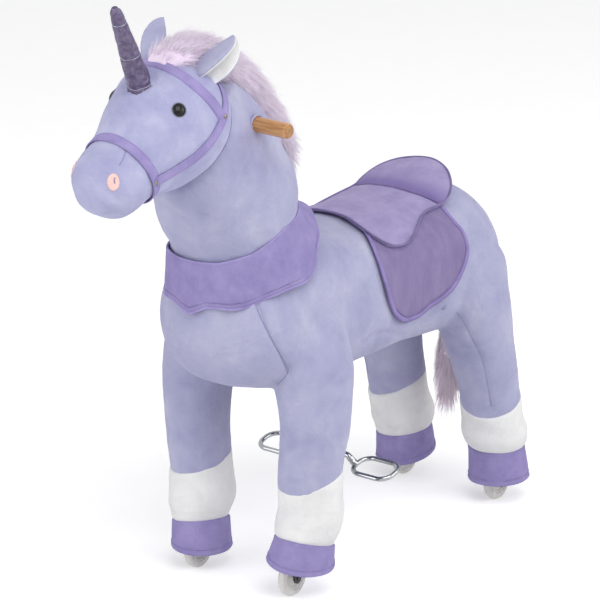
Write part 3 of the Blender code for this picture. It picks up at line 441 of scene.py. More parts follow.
def rounded(rings, first, last):
    """Rings with a domed end added at each end: the depths of the domes."""
    rings = list(rings)
    for place, depth in ((0, first), (-1, last)):
        edge, inner = rings[place], rings[1 if place == 0 else -2]
        centre = edge.mean(0)
        out = unit(centre - inner.mean(0))
        for turn in (0.4, 0.8, 1.2):
            cap = centre + (edge - centre) * math.cos(turn) + out * depth * math.sin(turn)
            rings.insert(0, cap) if place == 0 else rings.append(cap)
    return rings


def closed_skin(rings, open_tube=False):
    """Points and faces of a skin through rings. Its ends close, or its last ring joins the first."""
    count, rows = len(rings[0]), len(rings)
    points = list(np.vstack(rings))
    faces = []
    for row in range(rows if open_tube else rows - 1):
        below, above = row * count, (row + 1) % rows * count
        for step in range(count):
            after = (step + 1) % count
            faces.append((below + step, below + after, above + after, above + step))
    if not open_tube:
        for row in (0, rows - 1):
            points.append(rings[row].mean(0))
            for step in range(count):
                faces.append((row * count + step, row * count + (step + 1) % count, len(points) - 1))
    return np.array(points), faces


def joined(*parts):
    """Several (points, faces) as one."""
    points, faces, start = [], [], 0
    for some, theirs in parts:
        points.append(some)
        faces += [[corner + start for corner in face] for face in theirs]
        start += len(some)
    return np.vstack(points), faces


def sweep(path, outline, outward, loop=False):
    """An outline carried along a path: its first number goes sideways, its second outwards."""
    path = np.asarray(path, float)
    outward = np.broadcast_to(np.asarray(outward, float), path.shape)
    ahead = unit(np.roll(path, -1, 0) - np.roll(path, 1, 0)) if loop else unit(np.gradient(path, axis=0))
    outward = unit(outward - ahead * np.sum(outward * ahead, axis=1, keepdims=True))
    sideways = np.cross(ahead, outward)
    rings = [at + np.outer(np.array(outline)[:, 0], side) + np.outer(np.array(outline)[:, 1], out)
             for at, side, out in zip(path, sideways, outward)]
    return closed_skin(rings, open_tube=loop)


def round_outline(radius, count=10, flat=1.0):
    """A circle's outline for a sweep, flattened along its second number."""
    turn = 2 * math.pi * np.arange(count) / count
    return np.column_stack([radius * np.cos(turn), radius * flat * np.sin(turn)])


def strap_outline(width, thick, count=5):
    """A flat strap's outline with rounded edges, standing on its inner face."""
    turn = np.linspace(-math.pi / 2, math.pi / 2, count)
    round_x, round_y = np.cos(turn) * thick / 2, np.sin(turn) * thick / 2 + thick / 2
    half = width / 2 - thick / 2
    middle = np.linspace(half, -half, 6)[1:-1]
    return np.vstack([np.column_stack([half + round_x, round_y]),
                      np.column_stack([middle, np.full(4, thick * 1.08)]),
                      np.column_stack([-half - round_x[::-1], round_y[::-1]]),
                      np.column_stack([middle[::-1], np.zeros(4)])])


def eased(path, rounds=4, loop=False):
    """A path with its small kinks smoothed away."""
    path = np.asarray(path, float)
    for _ in range(rounds):
        if loop:
            path = (np.roll(path, 1, 0) + 2 * path + np.roll(path, -1, 0)) / 4
        else:
            path = np.vstack([path[:1], (path[:-2] + 2 * path[1:-1] + path[2:]) / 4, path[-1:]])
    return path


def lay_cord(name, path, radius, outward, finish, body, sides=8, loop=False):
    """A round cord, thread or piping along a path, riding on a body."""
    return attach(make_piece(name, *sweep(path, round_outline(radius, sides), outward, loop), finish), body)


def stitches(path, outward, long, gap, radius):
    """Running stitches along a path on a surface: short threads that dive into the cloth at both ends."""
    path, outward = np.asarray(path, float), unit(outward)
    walked = np.concatenate([[0], np.cumsum(np.linalg.norm(np.diff(path, axis=0), axis=1))])
    parts = []
    for start in np.arange(gap, walked[-1] - long, long + gap):
        stations = start + np.linspace(0, long, 4)
        spots = np.column_stack([np.interp(stations, walked, path[:, axis]) for axis in range(3)])
        up = unit(np.column_stack([np.interp(stations, walked, outward[:, axis]) for axis in range(3)]))
        spots = spots + up * (np.array((-0.4, 0.5, 0.5, -0.4)) * radius)[:, None]
        parts.append(sweep(spots, round_outline(radius, 5), up))
    return joined(*parts)


def surface_of(piece):
    """A piece's surface for finding places on it, about the pivot."""
    points = points_of(piece)
    return BVHTree.FromPolygons(points.tolist(), [tuple(face.vertices) for face in piece.data.polygons])


def hit(surface, start, way, rise=0.0):
    """The farthest place where a ray from inside leaves a surface, and the way out there."""
    start, way = Vector(start), Vector(way).normalized()
    place, out, _, _ = surface.ray_cast(start + way * 0.5, -way, 0.5)
    if place is None:
        return np.array(start), np.array(way)
    if out.dot(way) < 0:
        out = -out
    return np.array(place + out * rise), np.array(out)


HAIR_TURNS = (0.0, 2.0944, 4.1888)  # thirds of a turn


def hairs(roots, ways, lengths, width, droop, curl, stations=6):
    """Tapered three-sided hairs, each closed, as points, faces and the share of the way along each hair."""
    count = len(roots)
    shares = np.linspace(0, 1, stations)
    swing = unit(draw.normal(size=(count, 3)))
    spots = (roots[:, None, :] + ways[:, None, :] * (lengths[:, None] * shares)[:, :, None]
             + np.array(droop) * (lengths[:, None] * shares**2)[:, :, None]
             + swing[:, None, :] * (curl * lengths[:, None] * shares**2)[:, :, None])
    ahead = unit(np.gradient(spots, axis=1))
    side = unit(np.cross(ahead, swing[:, None, :] + (0.01, 0.02, 0.03)))
    other = np.cross(ahead, side)
    reach = width * draw.uniform(0.7, 1.3, count)[:, None] * (1 - 0.88 * shares**1.6)
    rings = [spots + (side * math.cos(turn) + other * math.sin(turn)) * reach[:, :, None]
             for turn in HAIR_TURNS]
    points = np.stack(rings, axis=2).reshape(-1, 3)
    one = []
    for row in range(stations - 1):
        for step in range(3):
            after = (step + 1) % 3
            one.append((row * 3 + step, row * 3 + after, row * 3 + 3 + after, row * 3 + 3 + step))
    last = 3 * (stations - 1)
    caps = [(2, 1, 0), (last, last + 1, last + 2)]
    faces = [[corner + start * stations * 3 for corner in face]
             for start in range(count) for face in one + caps]
    along = np.repeat(np.tile(shares, count), 3)
    return points, faces, along


# The stuffed body

TORSO = (  # y, middle z, half width, half height
    (-0.350, 0.420, 0.050, 0.058), (-0.325, 0.4180, 0.091, 0.0895), (-0.285, 0.4165, 0.110, 0.1060),
    (-0.200, 0.4060, 0.117, 0.1150), (-0.080, 0.3975, 0.112, 0.1065), (0.040, 0.3955, 0.110, 0.1040),
    (0.140, 0.3950, 0.113, 0.1110), (0.182, 0.3930, 0.1115, 0.1145), (0.216, 0.3800, 0.1070, 0.1080),
    (0.252, 0.3670, 0.0850, 0.0880), (0.275, 0.3620, 0.0480, 0.0540),
)
TORSO_POWER = 2.5
FRONT_LEG = (  # z, x, y, radius
    (0.136, 0.0985, -0.2255, 0.0420), (0.146, 0.0990, -0.2255, 0.0446), (0.170, 0.1010, -0.2258, 0.0460),
    (0.200, 0.1040, -0.2255, 0.0464), (0.250, 0.1080, -0.2230, 0.0492), (0.300, 0.1045, -0.2190, 0.0545),
    (0.350, 0.0940, -0.2130, 0.0600), (0.400, 0.0690, -0.2080, 0.0600), (0.425, 0.0560, -0.2050, 0.0460),
)
REAR_LEG = (
    (0.136, 0.0890, 0.2330, 0.0440), (0.170, 0.0890, 0.2270, 0.0456), (0.200, 0.0885, 0.2195, 0.0468),
    (0.250, 0.0870, 0.2045, 0.0508), (0.300, 0.0815, 0.1915, 0.0585), (0.350, 0.0740, 0.1805, 0.0655),
    (0.400, 0.0660, 0.1795, 0.0650), (0.430, 0.0560, 0.1755, 0.0490),
)
BODY_VOXEL = 3.4 * MM
TORSO_FINE = finer(TORSO, 8)


def torso_at(y):
    """The torso's middle height, half width and half height at a place along it."""
    return [np.interp(y, TORSO_FINE[:, 0], TORSO_FINE[:, column]) for column in (1, 2, 3)]


def on_torso(y, turn, grow=0.0):
    """A place on the torso's form. Turn is 0 on top and grows towards the left side."""
    middle, wide, high = torso_at(y)
    bulge = bulge_of(turn, TORSO_POWER)
    return np.array([(wide + grow) * bulge * np.sin(turn), y, middle + (high + grow) * bulge * np.cos(turn)])


STEP_AT = (0.030, 0.085, 0.120, 0.160, 0.190)
# the near front foot is set down a little to its own left and back
LEFT_STEP = (0.0019, 0.0060, 0.0062, 0.0026, 0)


def step_aside(table, side, steps):
    """Rows of a leg, height first, moved by the steps towards the left and back."""
    aside = np.interp(table[:, 0], STEP_AT, steps)
    table[:, 1] += side * 0.78 * aside
    table[:, 2] += 0.62 * aside
    return table


def leg_rings(stations, side):
    """The rings of one leg, from the cuff up into the torso."""
    rows = finer(stations, 6)
    if stations is FRONT_LEG and side > 0:
        rows = step_aside(rows, side, LEFT_STEP)
    return [ring((side * x, y, z), (0, 0, 1), r, r, 40) for z, x, y, r in rows]


CHEST_SEAM = (
    (0.0885, -0.323, 0.456), (0.096, -0.319, 0.432), (0.102, -0.310, 0.406), (0.1045, -0.293, 0.378),
    (0.099, -0.270, 0.345), (0.080, -0.262, 0.325),
)
THIGH_SEAM = (
    (0.106, 0.120, 0.330), (0.112, 0.145, 0.290), (0.117, 0.165, 0.255), (0.1165, 0.180, 0.215),
    (0.1165, 0.192, 0.170),
)
FLANK_SEAM = ((0.104, -0.108, 0.345), (0.1055, -0.080, 0.352), (0.103, -0.046, 0.345), (0.098, -0.012, 0.330))
SHOULDER_DIP, SHOULDER_REACH, SHOULDER_DEPTH = (0.098, -0.290, 0.462), (0.050, 0.050, 0.034), 8.0 * MM
SLOT_Y, SLOT_WIDE, SLOT_LONG = -0.172, 0.038, 0.098
SLOT_ROWS = ((0.20, 0.006), (0.285, 0.006), (0.298, 0.001), (0.36, 0.0), (0.42, 0.0))  # height and flare


def press_seam(points, normals, line, depth, width):
    """Points pulled in along a seam that runs through a skin."""
    line = finer(line, 14 if len(line) < 30 else 2)
    near = np.full(len(points), 1.0)
    for place in line:
        near = np.minimum(near, np.linalg.norm(points - place, axis=1))
    return points - normals * (depth * np.exp(-((near / width) ** 2)))[:, None]


def make_body_skin():
    """One skin over the torso and the upper legs, with a slot under the chest for the stirrup arms."""
    rings = [ring((0, y, z), (0, 1, 0), wide, high, 72, TORSO_POWER) for y, z, wide, high in finer(TORSO, 6)]
    parts = [closed_skin(rounded(rings, 0.010, 0.012))]
    for stations in (FRONT_LEG, REAR_LEG):
        parts += [closed_skin(leg_rings(stations, side)) for _, side in SIDES]
    body = make_piece("body_skin", *joined(*parts), lavender_plush)
    fuse = body.modifiers.new("fuse", "REMESH")
    fuse.mode, fuse.voxel_size = "VOXEL", BODY_VOXEL
    apply_modifiers(body)
    relax = body.modifiers.new("relax", "SMOOTH")
    relax.factor, relax.iterations = 0.5, 4
    apply_modifiers(body)
    lump(body, (75, 2.0), (28, 0.8), (11, 0.25))
    points, normals = points_of(body), normals_of(body)
    for _, side in SIDES:
        for line, depth, width in ((CHEST_SEAM, 2.8, 3.8), (THIGH_SEAM, 1.6, 3.8), (FLANK_SEAM, 2.2, 4.6)):
            points = press_seam(points, normals, on_side(line, side), depth * MM, width * MM)
        near = np.exp(-np.sum(((points - on_side(SHOULDER_DIP, side)) / SHOULDER_REACH) ** 2, axis=1))
        points = points - normals * (near * SHOULDER_DEPTH)[:, None]
    move_points(body, points)
    slot_rings = [ring((0, SLOT_Y, z), (0, 0, 1), SLOT_WIDE + flare, SLOT_LONG + flare, 40, 5.0)
                  for z, flare in SLOT_ROWS]
    slot_box = make_piece("slot_cutter", *closed_skin(slot_rings), lavender_plush)
    cut = body.modifiers.new("slot", "BOOLEAN")
    cut.object, cut.operation, cut.solver = slot_box, "DIFFERENCE", "EXACT"
    apply_modifiers(body)
    bpy.data.objects.remove(slot_box)
    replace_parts(body, "chest_plush", "belly_plush", "rump_plush", "front_leg_plush_left",
                "front_leg_plush_right", "rear_leg_plush_left", "rear_leg_plush_right")
    return body


def lay_thread(name, line, surface, body, radius=0.0006, sink=0.0002):
    """A seam's thread along a line on a skin, drawn half into the pile."""
    path, outs = [], []
    for place in finer(line, 10):
        spot, out, _, _ = surface.find_nearest(Vector(place))
        path.append(np.array(spot) + np.array(out) * (radius - sink))
        outs.append(out)
    return lay_cord(name, eased(path, 3), radius, outs, seam_thread, body)


body_skin = make_body_skin()
body_surface = surface_of(body_skin)
for word, side in SIDES:
    lay_thread(f"chest_seam_{word}", on_side(CHEST_SEAM, side), body_surface, "front")
    lay_thread(f"thigh_seam_{word}", on_side(THIGH_SEAM, side), body_surface, "rear", 0.0005)

FRONT_FOOT = (  # z, x, y, radius
    (0.0300, 0.0900, -0.2400, 0.0475), (0.0500, 0.0908, -0.2390, 0.0462), (0.0700, 0.0918, -0.2370, 0.0446),
    (0.0845, 0.0928, -0.2350, 0.0434), (0.0980, 0.0945, -0.2320, 0.0462), (0.1180, 0.0965, -0.2280, 0.0480),
    (0.1400, 0.0985, -0.2255, 0.0474), (0.1600, 0.1000, -0.2255, 0.0466), (0.1900, 0.1030, -0.2255, 0.0472),
)
REAR_FOOT = (
    (0.0300, 0.0880, 0.2510, 0.0462), (0.0500, 0.0880, 0.2500, 0.0452), (0.0700, 0.0880, 0.2480, 0.0440),
    (0.0845, 0.0880, 0.2460, 0.0432), (0.0980, 0.0882, 0.2430, 0.0460), (0.1180, 0.0885, 0.2385, 0.0477),
    (0.1400, 0.0888, 0.2325, 0.0474), (0.1600, 0.0890, 0.2285, 0.0468), (0.2000, 0.0885, 0.2195, 0.0476),
)
WELL_R, WELL_TOP = 0.0320, 0.0600
AXLE_Y = 0.248
HALF_TRACK = 0.0875
GROW_AT = (0.030, 0.085, 0.110, 0.150)
FOOT_SIDES = 72
FEET = (  # end, side, three slanted rings, steps aside and girths
    # a ring is a lowest height, a rise and the way of its lowest point: the sock's upper edge, the seam over
    # the hoof and the hoof's hem
    ("front", 1, (0.1648, 0.0329, -112), (0.0667, 0.0232, 90), (0.0431, 0.0119, 5), LEFT_STEP,
     (1.09, 1.02, 0.965, 1.0)),
    ("front", -1, (0.1465, 0.0335, -125), (0.0616, 0.0161, 147), (0.0305, 0.0030, -60),
     (0.0024, 0.0004, 0, 0, 0),
     (0.93, 0.96, 1.0, 1.0)),
    ("rear", 1, (0.1500, 0.0480, -65), (0.0850, 0.0010, 0), (0.0340, 0.0030, -140), (0.0014, 0, 0, 0, 0),
     (1, 1, 1, 1)),
    ("rear", -1, (0.1420, 0.0440, -118), (0.0658, 0.0124, 204), (0.0257, 0.0224, 256),
     (0.0014, 0.0005, 0, 0, 0),
     (1, 1, 1, 1)),
)


def foot_at(table, z):
    """A foot's middle and radius at a height, from its fine table."""
    return [np.interp(z, table[:, 0], table[:, column]) for column in (1, 2, 3)]


def slanted(turn, low, rise, way):
    """The heights of a ring that is lowest at one way round."""
    return low + rise * (1 - np.cos(turn - math.radians(way))) / 2


def make_sock(name, table, side, edge, seam):
    """A white plush sock between hoof and leg. Its upper edge is cut on a slant, lowest near the front."""
    turn = turns_of(FOOT_SIDES)
    top, foot = slanted(turn, *edge), slanted(turn, *seam)
    rings = []
    for share in np.linspace(0, 1, 24):
        z = foot + (top - foot) * share
        fold = 0.0007 * np.sin(turn * 4 + share * 3 + side) * math.sin(math.pi * share)
        swell = 0.0030 * math.sin(math.pi * min(1.0, share / 0.62)) ** 2 if share < 0.62 else 0.0
        points = []
        for angle, high, more in zip(turn, z, fold):
            x, y, r = foot_at(table, high)
            pinch = -0.0050 * max(0, 1 - share / 0.10) ** 1.4 - 0.0030 * max(0, (share - 0.94) / 0.06) ** 1.5
            reach = r + more + pinch + swell
            points.append((side * x + reach * math.cos(angle), y + reach * math.sin(angle), high))
        rings.append(np.array(points))
    sock = make_piece(name, *closed_skin(rings), white_plush)
    subdivided(sock)
    lump(sock, (30, 0.5), (9, 0.22), (4, 0.15))
    return sock


def make_hoof(name, table, side, sign, seam, low_edge):
    """A felt hoof, open underneath for the wheel, with a rolled hem at its foot."""
    hem, turn = 0.0022, turns_of(FOOT_SIDES)
    low, high = slanted(turn, *low_edge), slanted(turn, *seam) + 0.0045
    well = np.array((side * HALF_TRACK, sign * AXLE_Y, 0.0))
    rings = []

    def wall(heights, inset):
        """One ring of the outside at these heights."""
        places = []
        for angle, z, less in zip(turn, heights, np.broadcast_to(inset, turn.shape)):
            x, y, r = foot_at(table, z)
            places.append((side * x + (r - less) * math.cos(angle), y + (r - less) * math.sin(angle), z))
        return np.array(places)

    for share in np.linspace(0, 1, 15):
        pinch = 0.004 * max(0.0, 1 - share / 0.07)
        rings.append(wall(high + (low + 0.0045 - high) * share, pinch))
    for angle in np.linspace(0.0, math.pi, 7):
        rings.append(wall(low + 0.0012 - math.sin(angle) * hem, (1 - math.cos(angle)) * hem - 0.0010))
    lip = wall(low + 0.0012, 2 * hem - 0.0010)
    for share in (0.3, 0.65, 1.0):
        inner = well + np.column_stack([np.cos(turn) * WELL_R, np.sin(turn) * WELL_R, low + 0.003])
        rings.append(lip * (1 - share) + inner * share)
    for share in (0.25, 0.6, 1.0):
        heights = low + 0.003 + (WELL_TOP - low - 0.003) * share
        rings.append(well + np.column_stack([np.cos(turn) * WELL_R, np.sin(turn) * WELL_R, heights]))
    hoof = make_piece(name, *closed_skin(rings), purple_felt)
    points = points_of(hoof)
    out = points[:, :2] - well[:2]
    reach = np.linalg.norm(out, axis=1, keepdims=True)
    wave = stuffing(points * (1, 1, 0.25), 24, side * 3.1 + sign)[:, None] * 1.2 * MM
    points[:, :2] += out / np.maximum(reach, 1e-6) * wave * np.clip((reach - 0.036) / 0.006, 0, 1)
    move_points(hoof, points)
    return hoof, rings[13]


for end, side, edge, seam, low_edge, shifts, girths in FEET:
    word, sign = ("left" if side > 0 else "right"), (-1 if end == "front" else 1)
    table = step_aside(finer(FRONT_FOOT if end == "front" else REAR_FOOT, 8), side, shifts)
    table[:, 3] *= np.interp(table[:, 0], GROW_AT, girths)
    sock = make_sock(f"{end}_cuff_{word}_sock", table, side, edge, seam)
    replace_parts(sock, f"{end}_cuff_{word}")
    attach(sock, end)
    hoof, seam = make_hoof(f"{end}_hoof_{word}_felt", table, side, sign, seam, low_edge)
    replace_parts(hoof, f"{end}_hoof_{word}")
    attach(hoof, end)
    seam = np.vstack([seam, seam[:1]])
    away = unit((seam - seam[:-1].mean(0)) * (1, 1, 0))
    threads = stitches(seam + away * 0.0004, away, 3.0 * MM, 1.6 * MM, 0.45 * MM)
    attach(make_piece(f"{end}_hoof_{word}_stitches", *threads, stitch_thread), end)


# Neck and head

NECK = (  # y, z, half width, half depth, tilt
    (-0.245, 0.420, 0.098, 0.110, -0.19), (-0.258, 0.480, 0.092, 0.102, -0.19),
    (-0.268, 0.535, 0.088, 0.097, -0.22), (-0.279, 0.575, 0.091, 0.106, -0.28),
    (-0.294, 0.612, 0.0885, 0.106, -0.34), (-0.319, 0.665, 0.0800, 0.097, -0.38),
    (-0.344, 0.716, 0.0735, 0.083, -0.35), (-0.357, 0.752, 0.0600, 0.062, -0.30),
)
HEAD = (  # y, z, half width, half height
    (-0.3360, 0.7500, 0.041, 0.043), (-0.3550, 0.7435, 0.066, 0.0705), (-0.3805, 0.7348, 0.0785, 0.0850),
    (-0.4143, 0.7208, 0.0805, 0.0880), (-0.4489, 0.7041, 0.0735, 0.0790), (-0.4812, 0.6885, 0.0620, 0.0640),
    (-0.5056, 0.6778, 0.0545, 0.0540), (-0.532, 0.6640, 0.0532, 0.0512), (-0.552, 0.6555, 0.0465, 0.0443),
    (-0.5645, 0.6505, 0.0300, 0.0295),
)
MUZZLE_WAY = (0.0, -0.909, -0.416)
HEAD_FORMS = (  # place, size and rise in mm: the dip at the eye, the cheek, the dip at the nostril, the lip
    ((0.0530, -0.456, 0.760), 0.020, -1.8), ((0.070, -0.405, 0.705), 0.045, 1.8),
    ((0.034, -0.562, 0.680), 0.010, -1.6), ((0.030, -0.560, 0.640), 0.022, 1.5),
)
HEAD_MIDDLE = np.array((0.0, -0.378, 0.712))
MUZZLE_SEAM = ((0.010, -0.518, 0.724), (0.0240, -0.525, 0.720), (0.0345, -0.538, 0.711),
               (0.0360, -0.550, 0.701))


def make_neck_skin():
    """The stuffed neck, from inside the chest to the back of the head."""
    rings = [ring((0, y, z), (0, tilt, 1), wide, deep, 120) for y, z, wide, deep, tilt in finer(NECK, 13)]
    neck = make_piece("neck_skin", *closed_skin(rounded(rings, 0.006, 0.010)), lavender_plush)
    lump(neck, (60, 2.0), (24, 0.8), (9, 0.25))
    seam = np.array([(0.070 + 0.0012 * step, -0.345 + 0.003 * step, 0.640 - 0.011 * step)
                     for step in range(9)])
    move_points(neck, press_seam(points_of(neck), normals_of(neck), seam, 0.0016, 0.005))
    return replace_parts(neck, "neck_plush")


def make_head_skin():
    """The stuffed head, with fuller cheeks, a dip at the eyes and a rounded muzzle."""
    rings = [ring((0, y, z), MUZZLE_WAY, wide, high, 112) for y, z, wide, high in finer(HEAD, 10)]
    head = make_piece("head_skin", *closed_skin(rounded(rings, 0.008, 0.009)), cheek_plush)
    points = points_of(head)
    normals = normals_of(head)
    for _, side in SIDES:
        for spot, size, rise in HEAD_FORMS:
            near = np.exp(-np.sum((points - on_side(spot, side)) ** 2, axis=1) / size**2)
            points = points + normals * (near * rise * MM)[:, None]
        points = press_seam(points, normals, on_side(MUZZLE_SEAM, side), 0.0014, 0.0022)
    move_points(head, points)
    lump(head, (45, 1.0), (18, 0.5), (7, 0.2))
    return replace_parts(head, "head_plush")


neck_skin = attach(make_neck_skin(), "neck")
head_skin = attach(make_head_skin(), "neck")


def neck_crease():
    """The line where the head is sewn to the neck: from the poll, under the jaw and up again."""
    skins = [surface_of(head_skin), surface_of(neck_skin)]
    ahead = unit(MUZZLE_WAY)
    up = np.cross(ahead, ACROSS)
    path = []
    for turn in np.radians(np.linspace(52, 308, 70)):
        out = up * math.cos(turn) + ACROSS * math.sin(turn)
        for tilt in np.radians(np.arange(80, -60, -1.0)):
            way = out * math.cos(tilt) + ahead * math.sin(tilt)
            spots = [hit(skin, HEAD_MIDDLE, way)[0] for skin in skins]
            head_far, neck_far = (np.linalg.norm(spot - HEAD_MIDDLE) for spot in spots)
            if neck_far > head_far:
                path.append(spots[1])
                break
    return eased(path, 6)


crease = neck_crease()
for skin, depth, width in ((neck_skin, 4.0, 6.5), (head_skin, 2.2, 4.5)):
    move_points(skin, press_seam(points_of(skin), normals_of(skin), crease, depth * MM, width * MM))
head_surface = surface_of(head_skin)
outs = unit(crease - HEAD_MIDDLE)
# a dark cord in the groove between head and neck: painted shade
lay_cord("neck_crease_shade_cord", crease - outs * 0.0020, 0.0017, outs, painted_neck_crease_shade, "neck")
for word, side in SIDES:
    lay_thread(f"muzzle_seam_{word}", on_side(MUZZLE_SEAM, side), head_surface, "neck", 0.0005)


EAR_FOOT = (0.0240, -0.3870, 0.7990)
EAR_TIP = {"left": (0.0650, -0.3460, 0.8430), "right": (-0.0590, -0.3450, 0.8480)}
EAR_AT = (0, 0.15, 0.4, 0.6, 0.75, 0.88, 0.96, 1)
EAR_REACH = (0.0300, 0.0365, 0.0390, 0.0370, 0.0318, 0.0240, 0.0155, 0.0065)


def make_ear(word, side):
    """A leaf folded along its inner edge, open to the side: a plush shell with a white lining."""
    foot, tip = on_side(EAR_FOOT, side), np.array(EAR_TIP[word])
    way = unit(tip - foot)
    out = unit((side, 0.10, -0.25) - way * (way @ (side, 0.10, -0.25)))
    wide = np.cross(way, out)
    rows, steps = 24, 19
    shares, bends = np.linspace(0, 1, rows), np.linspace(-1, 1, steps)
    reaches = np.interp(shares, EAR_AT, EAR_REACH)

    def sheet(scale, shift, thick, chord):
        """One folded leaf as a closed shell: its two faces and the edge between them."""
        faces_at = []
        for layer in (0.0, thick):
            grid = []
            for share, reach in zip(shares, reaches):
                aside = shift + layer - 0.0040 * math.sin(math.pi * share)
                centre = foot + (tip - foot) * share + out * aside
                fold = np.abs(bends) ** 1.5 * reach * scale * np.where(bends * side > 0, 1.0, 0.80)
                grid.append(centre + np.outer(fold, out)
                            + np.outer(bends * reach * (chord - layer * 40), wide))
            faces_at.append(np.array(grid))
        return closed_skin([np.vstack([front, back[::-1]]) for front, back in zip(*faces_at)])

    shell = make_piece(f"ear_{word}_shell", *sheet(1.0, 0.0, 0.0030, 0.50), lavender_plush)
    # the lining's finish is painted lighter than the white plush, against the shade inside the ear
    lining = make_piece(f"ear_{word}_lining", *sheet(0.95, 0.0034, 0.0014, 0.375), brightened_lining_plush)
    for piece in (shell, lining):
        subdivided(piece)
        lump(piece, (12, 0.4), (5, 0.2))
    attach(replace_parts(shell, f"ear_{word}"), "neck")
    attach(lining, "neck")


EYE_AT, EYE_R = (0, -0.4545, 0.7565), 0.0088


def make_eye(word, side):
    """A black button eye sunk a little into the plush, ringed by a thin dark cord that is painted shade."""
    place, out = hit(head_surface, EYE_AT, (side, 0.0, 0.05))
    out = unit(out)
    dome = [(-0.001 + EYE_R * 0.50 * math.cos(turn), EYE_R * math.sin(turn))
            for turn in np.linspace(0.12, math.pi * 0.62, 12)]
    eye = button(f"eye_{word}_button", place, out, dome, 40, black_eye)
    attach(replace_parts(eye, f"eye_{word}"), "neck")
    # painted shade: a thin dark ring round the eye, where it sinks into the plush
    circle = ring(place + out * 0.0002, out, EYE_R + 0.0006, EYE_R + 0.0006, 48)
    lay_cord(f"eye_{word}_painted_shade_ring", circle, 0.0008, out, painted_eye_shade, "neck", loop=True)


NOSTRIL_WIDE, NOSTRIL_HIGH = 0.0086, 0.0122
NOSTRIL_LEVELS = ((1.0, -0.0008), (1.0, 0.0007), (0.9, 0.0013), (0.6, 0.0012), (0.3, 0.0008))  # scale, rise
# sewn on by hand, so not quite even
NOSTRILS = {"left": (0.0372, -0.5650, 0.6800), "right": (-0.0455, -0.5530, 0.6810)}


def make_nostril(word):
    """A small peach oval sewn to the side of the muzzle, with a slit pulled in at its middle."""
    origin, middle = np.array((0.0, -0.520, 0.665)), np.array(NOSTRILS[word])
    facing = unit(middle - origin)
    across = unit(np.cross((0, 0, 1), facing))
    upward = np.cross(facing, across)
    turns = np.linspace(0, 2 * math.pi, 40, endpoint=False)
    levels = []
    for scale, rise in NOSTRIL_LEVELS:
        edge = middle + scale * (np.outer(np.cos(turns) * NOSTRIL_WIDE, across)
                                 + np.outer(np.sin(turns) * NOSTRIL_HIGH, upward))
        levels.append(np.array([hit(head_surface, origin, aim - origin, rise)[0] for aim in edge]))
    patch = make_piece(f"nostril_{word}_patch", *closed_skin(levels), nostril_suede)
    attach(patch, "neck")
    slit, outs = [], []
    for step in np.linspace(-1, 1, 14):
        aim = middle + across * (0.0012 + 0.0010 * step**2) + upward * (0.0022 + 0.0042 * step)
        place, _ = hit(head_surface, origin, aim - origin, 0.0010)
        slit.append(place)
        outs.append(unit(aim - origin))
    lay_cord(f"nostril_{word}_slit", slit, 0.0007, outs, piping_cord, "neck", 6)


for word, side in SIDES:
    make_ear(word, side)
    make_eye(word, side)
    make_nostril(word)


# Horn, bridle and handle

HORN_BASE, HORN_TIP = np.array((0, -0.462, 0.778)), np.array((0, -0.515, 0.9016))
HORN_AT, HORN_R = (0, 0.1, 0.5, 0.9, 0.97, 1.0), (0.0178, 0.0172, 0.0136, 0.0093, 0.0078, 0.0050)
FRAYED_ENDS = 46
HORN_RINGS = (0.10, 0.45, 0.84)  # where a thread is tied round the horn, as shares of its length


def make_horn():
    """A stuffed satin horn: a cone gathered by threads that are tied round it."""
    way = unit(HORN_TIP - HORN_BASE)
    rings = []
    for share in np.linspace(0, 1, 66):
        centre = HORN_BASE + (HORN_TIP - HORN_BASE) * share
        made = ring(centre, way, 1, 1, 56) - centre
        turn = np.arctan2(made @ np.cross(way, ACROSS), made @ ACROSS)
        pull = 1 - 0.07 * sum(math.exp(-(((share - place) / 0.016) ** 2)) for place in HORN_RINGS)
        folds = 1 + 0.035 * np.sin(turn * 5 + share * 19) * (1 - share)
        rings.append(centre + made * (np.interp(share, HORN_AT, HORN_R) * pull * folds)[:, None])
    horn = make_piece("horn_cone", *closed_skin(rounded(rings, 0.001, 0.003)), horn_satin)
    lump(horn, (9, 0.7), (4, 0.3))
    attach(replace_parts(horn, "horn"), "neck")
    surface = surface_of(horn)
    for number, share in enumerate(HORN_RINGS, 1):
        path, outs = [], []
        for turn in np.linspace(0, 2 * math.pi, 48, endpoint=False):
            side = ACROSS * math.cos(turn) + np.cross(way, ACROSS) * math.sin(turn)
            centre = HORN_BASE + (HORN_TIP - HORN_BASE) * (share - 0.012 * math.cos(turn))
            path.append(hit(surface, centre, side, 0.0002)[0])
            outs.append(side)
        lay_cord(f"horn_thread_{number}", path, 0.00042, outs, silver_thread, "neck", 6, loop=True)
    roots, ways = [], []
    for turn in draw.uniform(0, 2 * math.pi, FRAYED_ENDS):
        side = ACROSS * math.cos(turn) + np.cross(way, ACROSS) * math.sin(turn)
        low = HORN_BASE + (HORN_TIP - HORN_BASE) * draw.uniform(0.045, 0.085)
        place, _ = hit(surface, low, side, 0.0004)
        roots.append(place)
        ways.append(unit(side * 0.5 - way * draw.uniform(-0.1, 0.7) + draw.normal(scale=0.35, size=3)))
    points, faces, _ = hairs(np.array(roots), np.array(ways), draw.uniform(0.002, 0.005, FRAYED_ENDS),
                             0.0005, (0, 0, 0), 0.5)
    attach(make_piece("horn_frayed_foot", points, faces, silver_thread), "neck")


make_horn()

STRAP_W, STRAP_T = 0.0150, 0.0016
NOSE_RIVET, CHEEK_RIVET, CROWN = (-0.500, 0.668), (-0.385, 0.739), (-0.4275, 0.808)


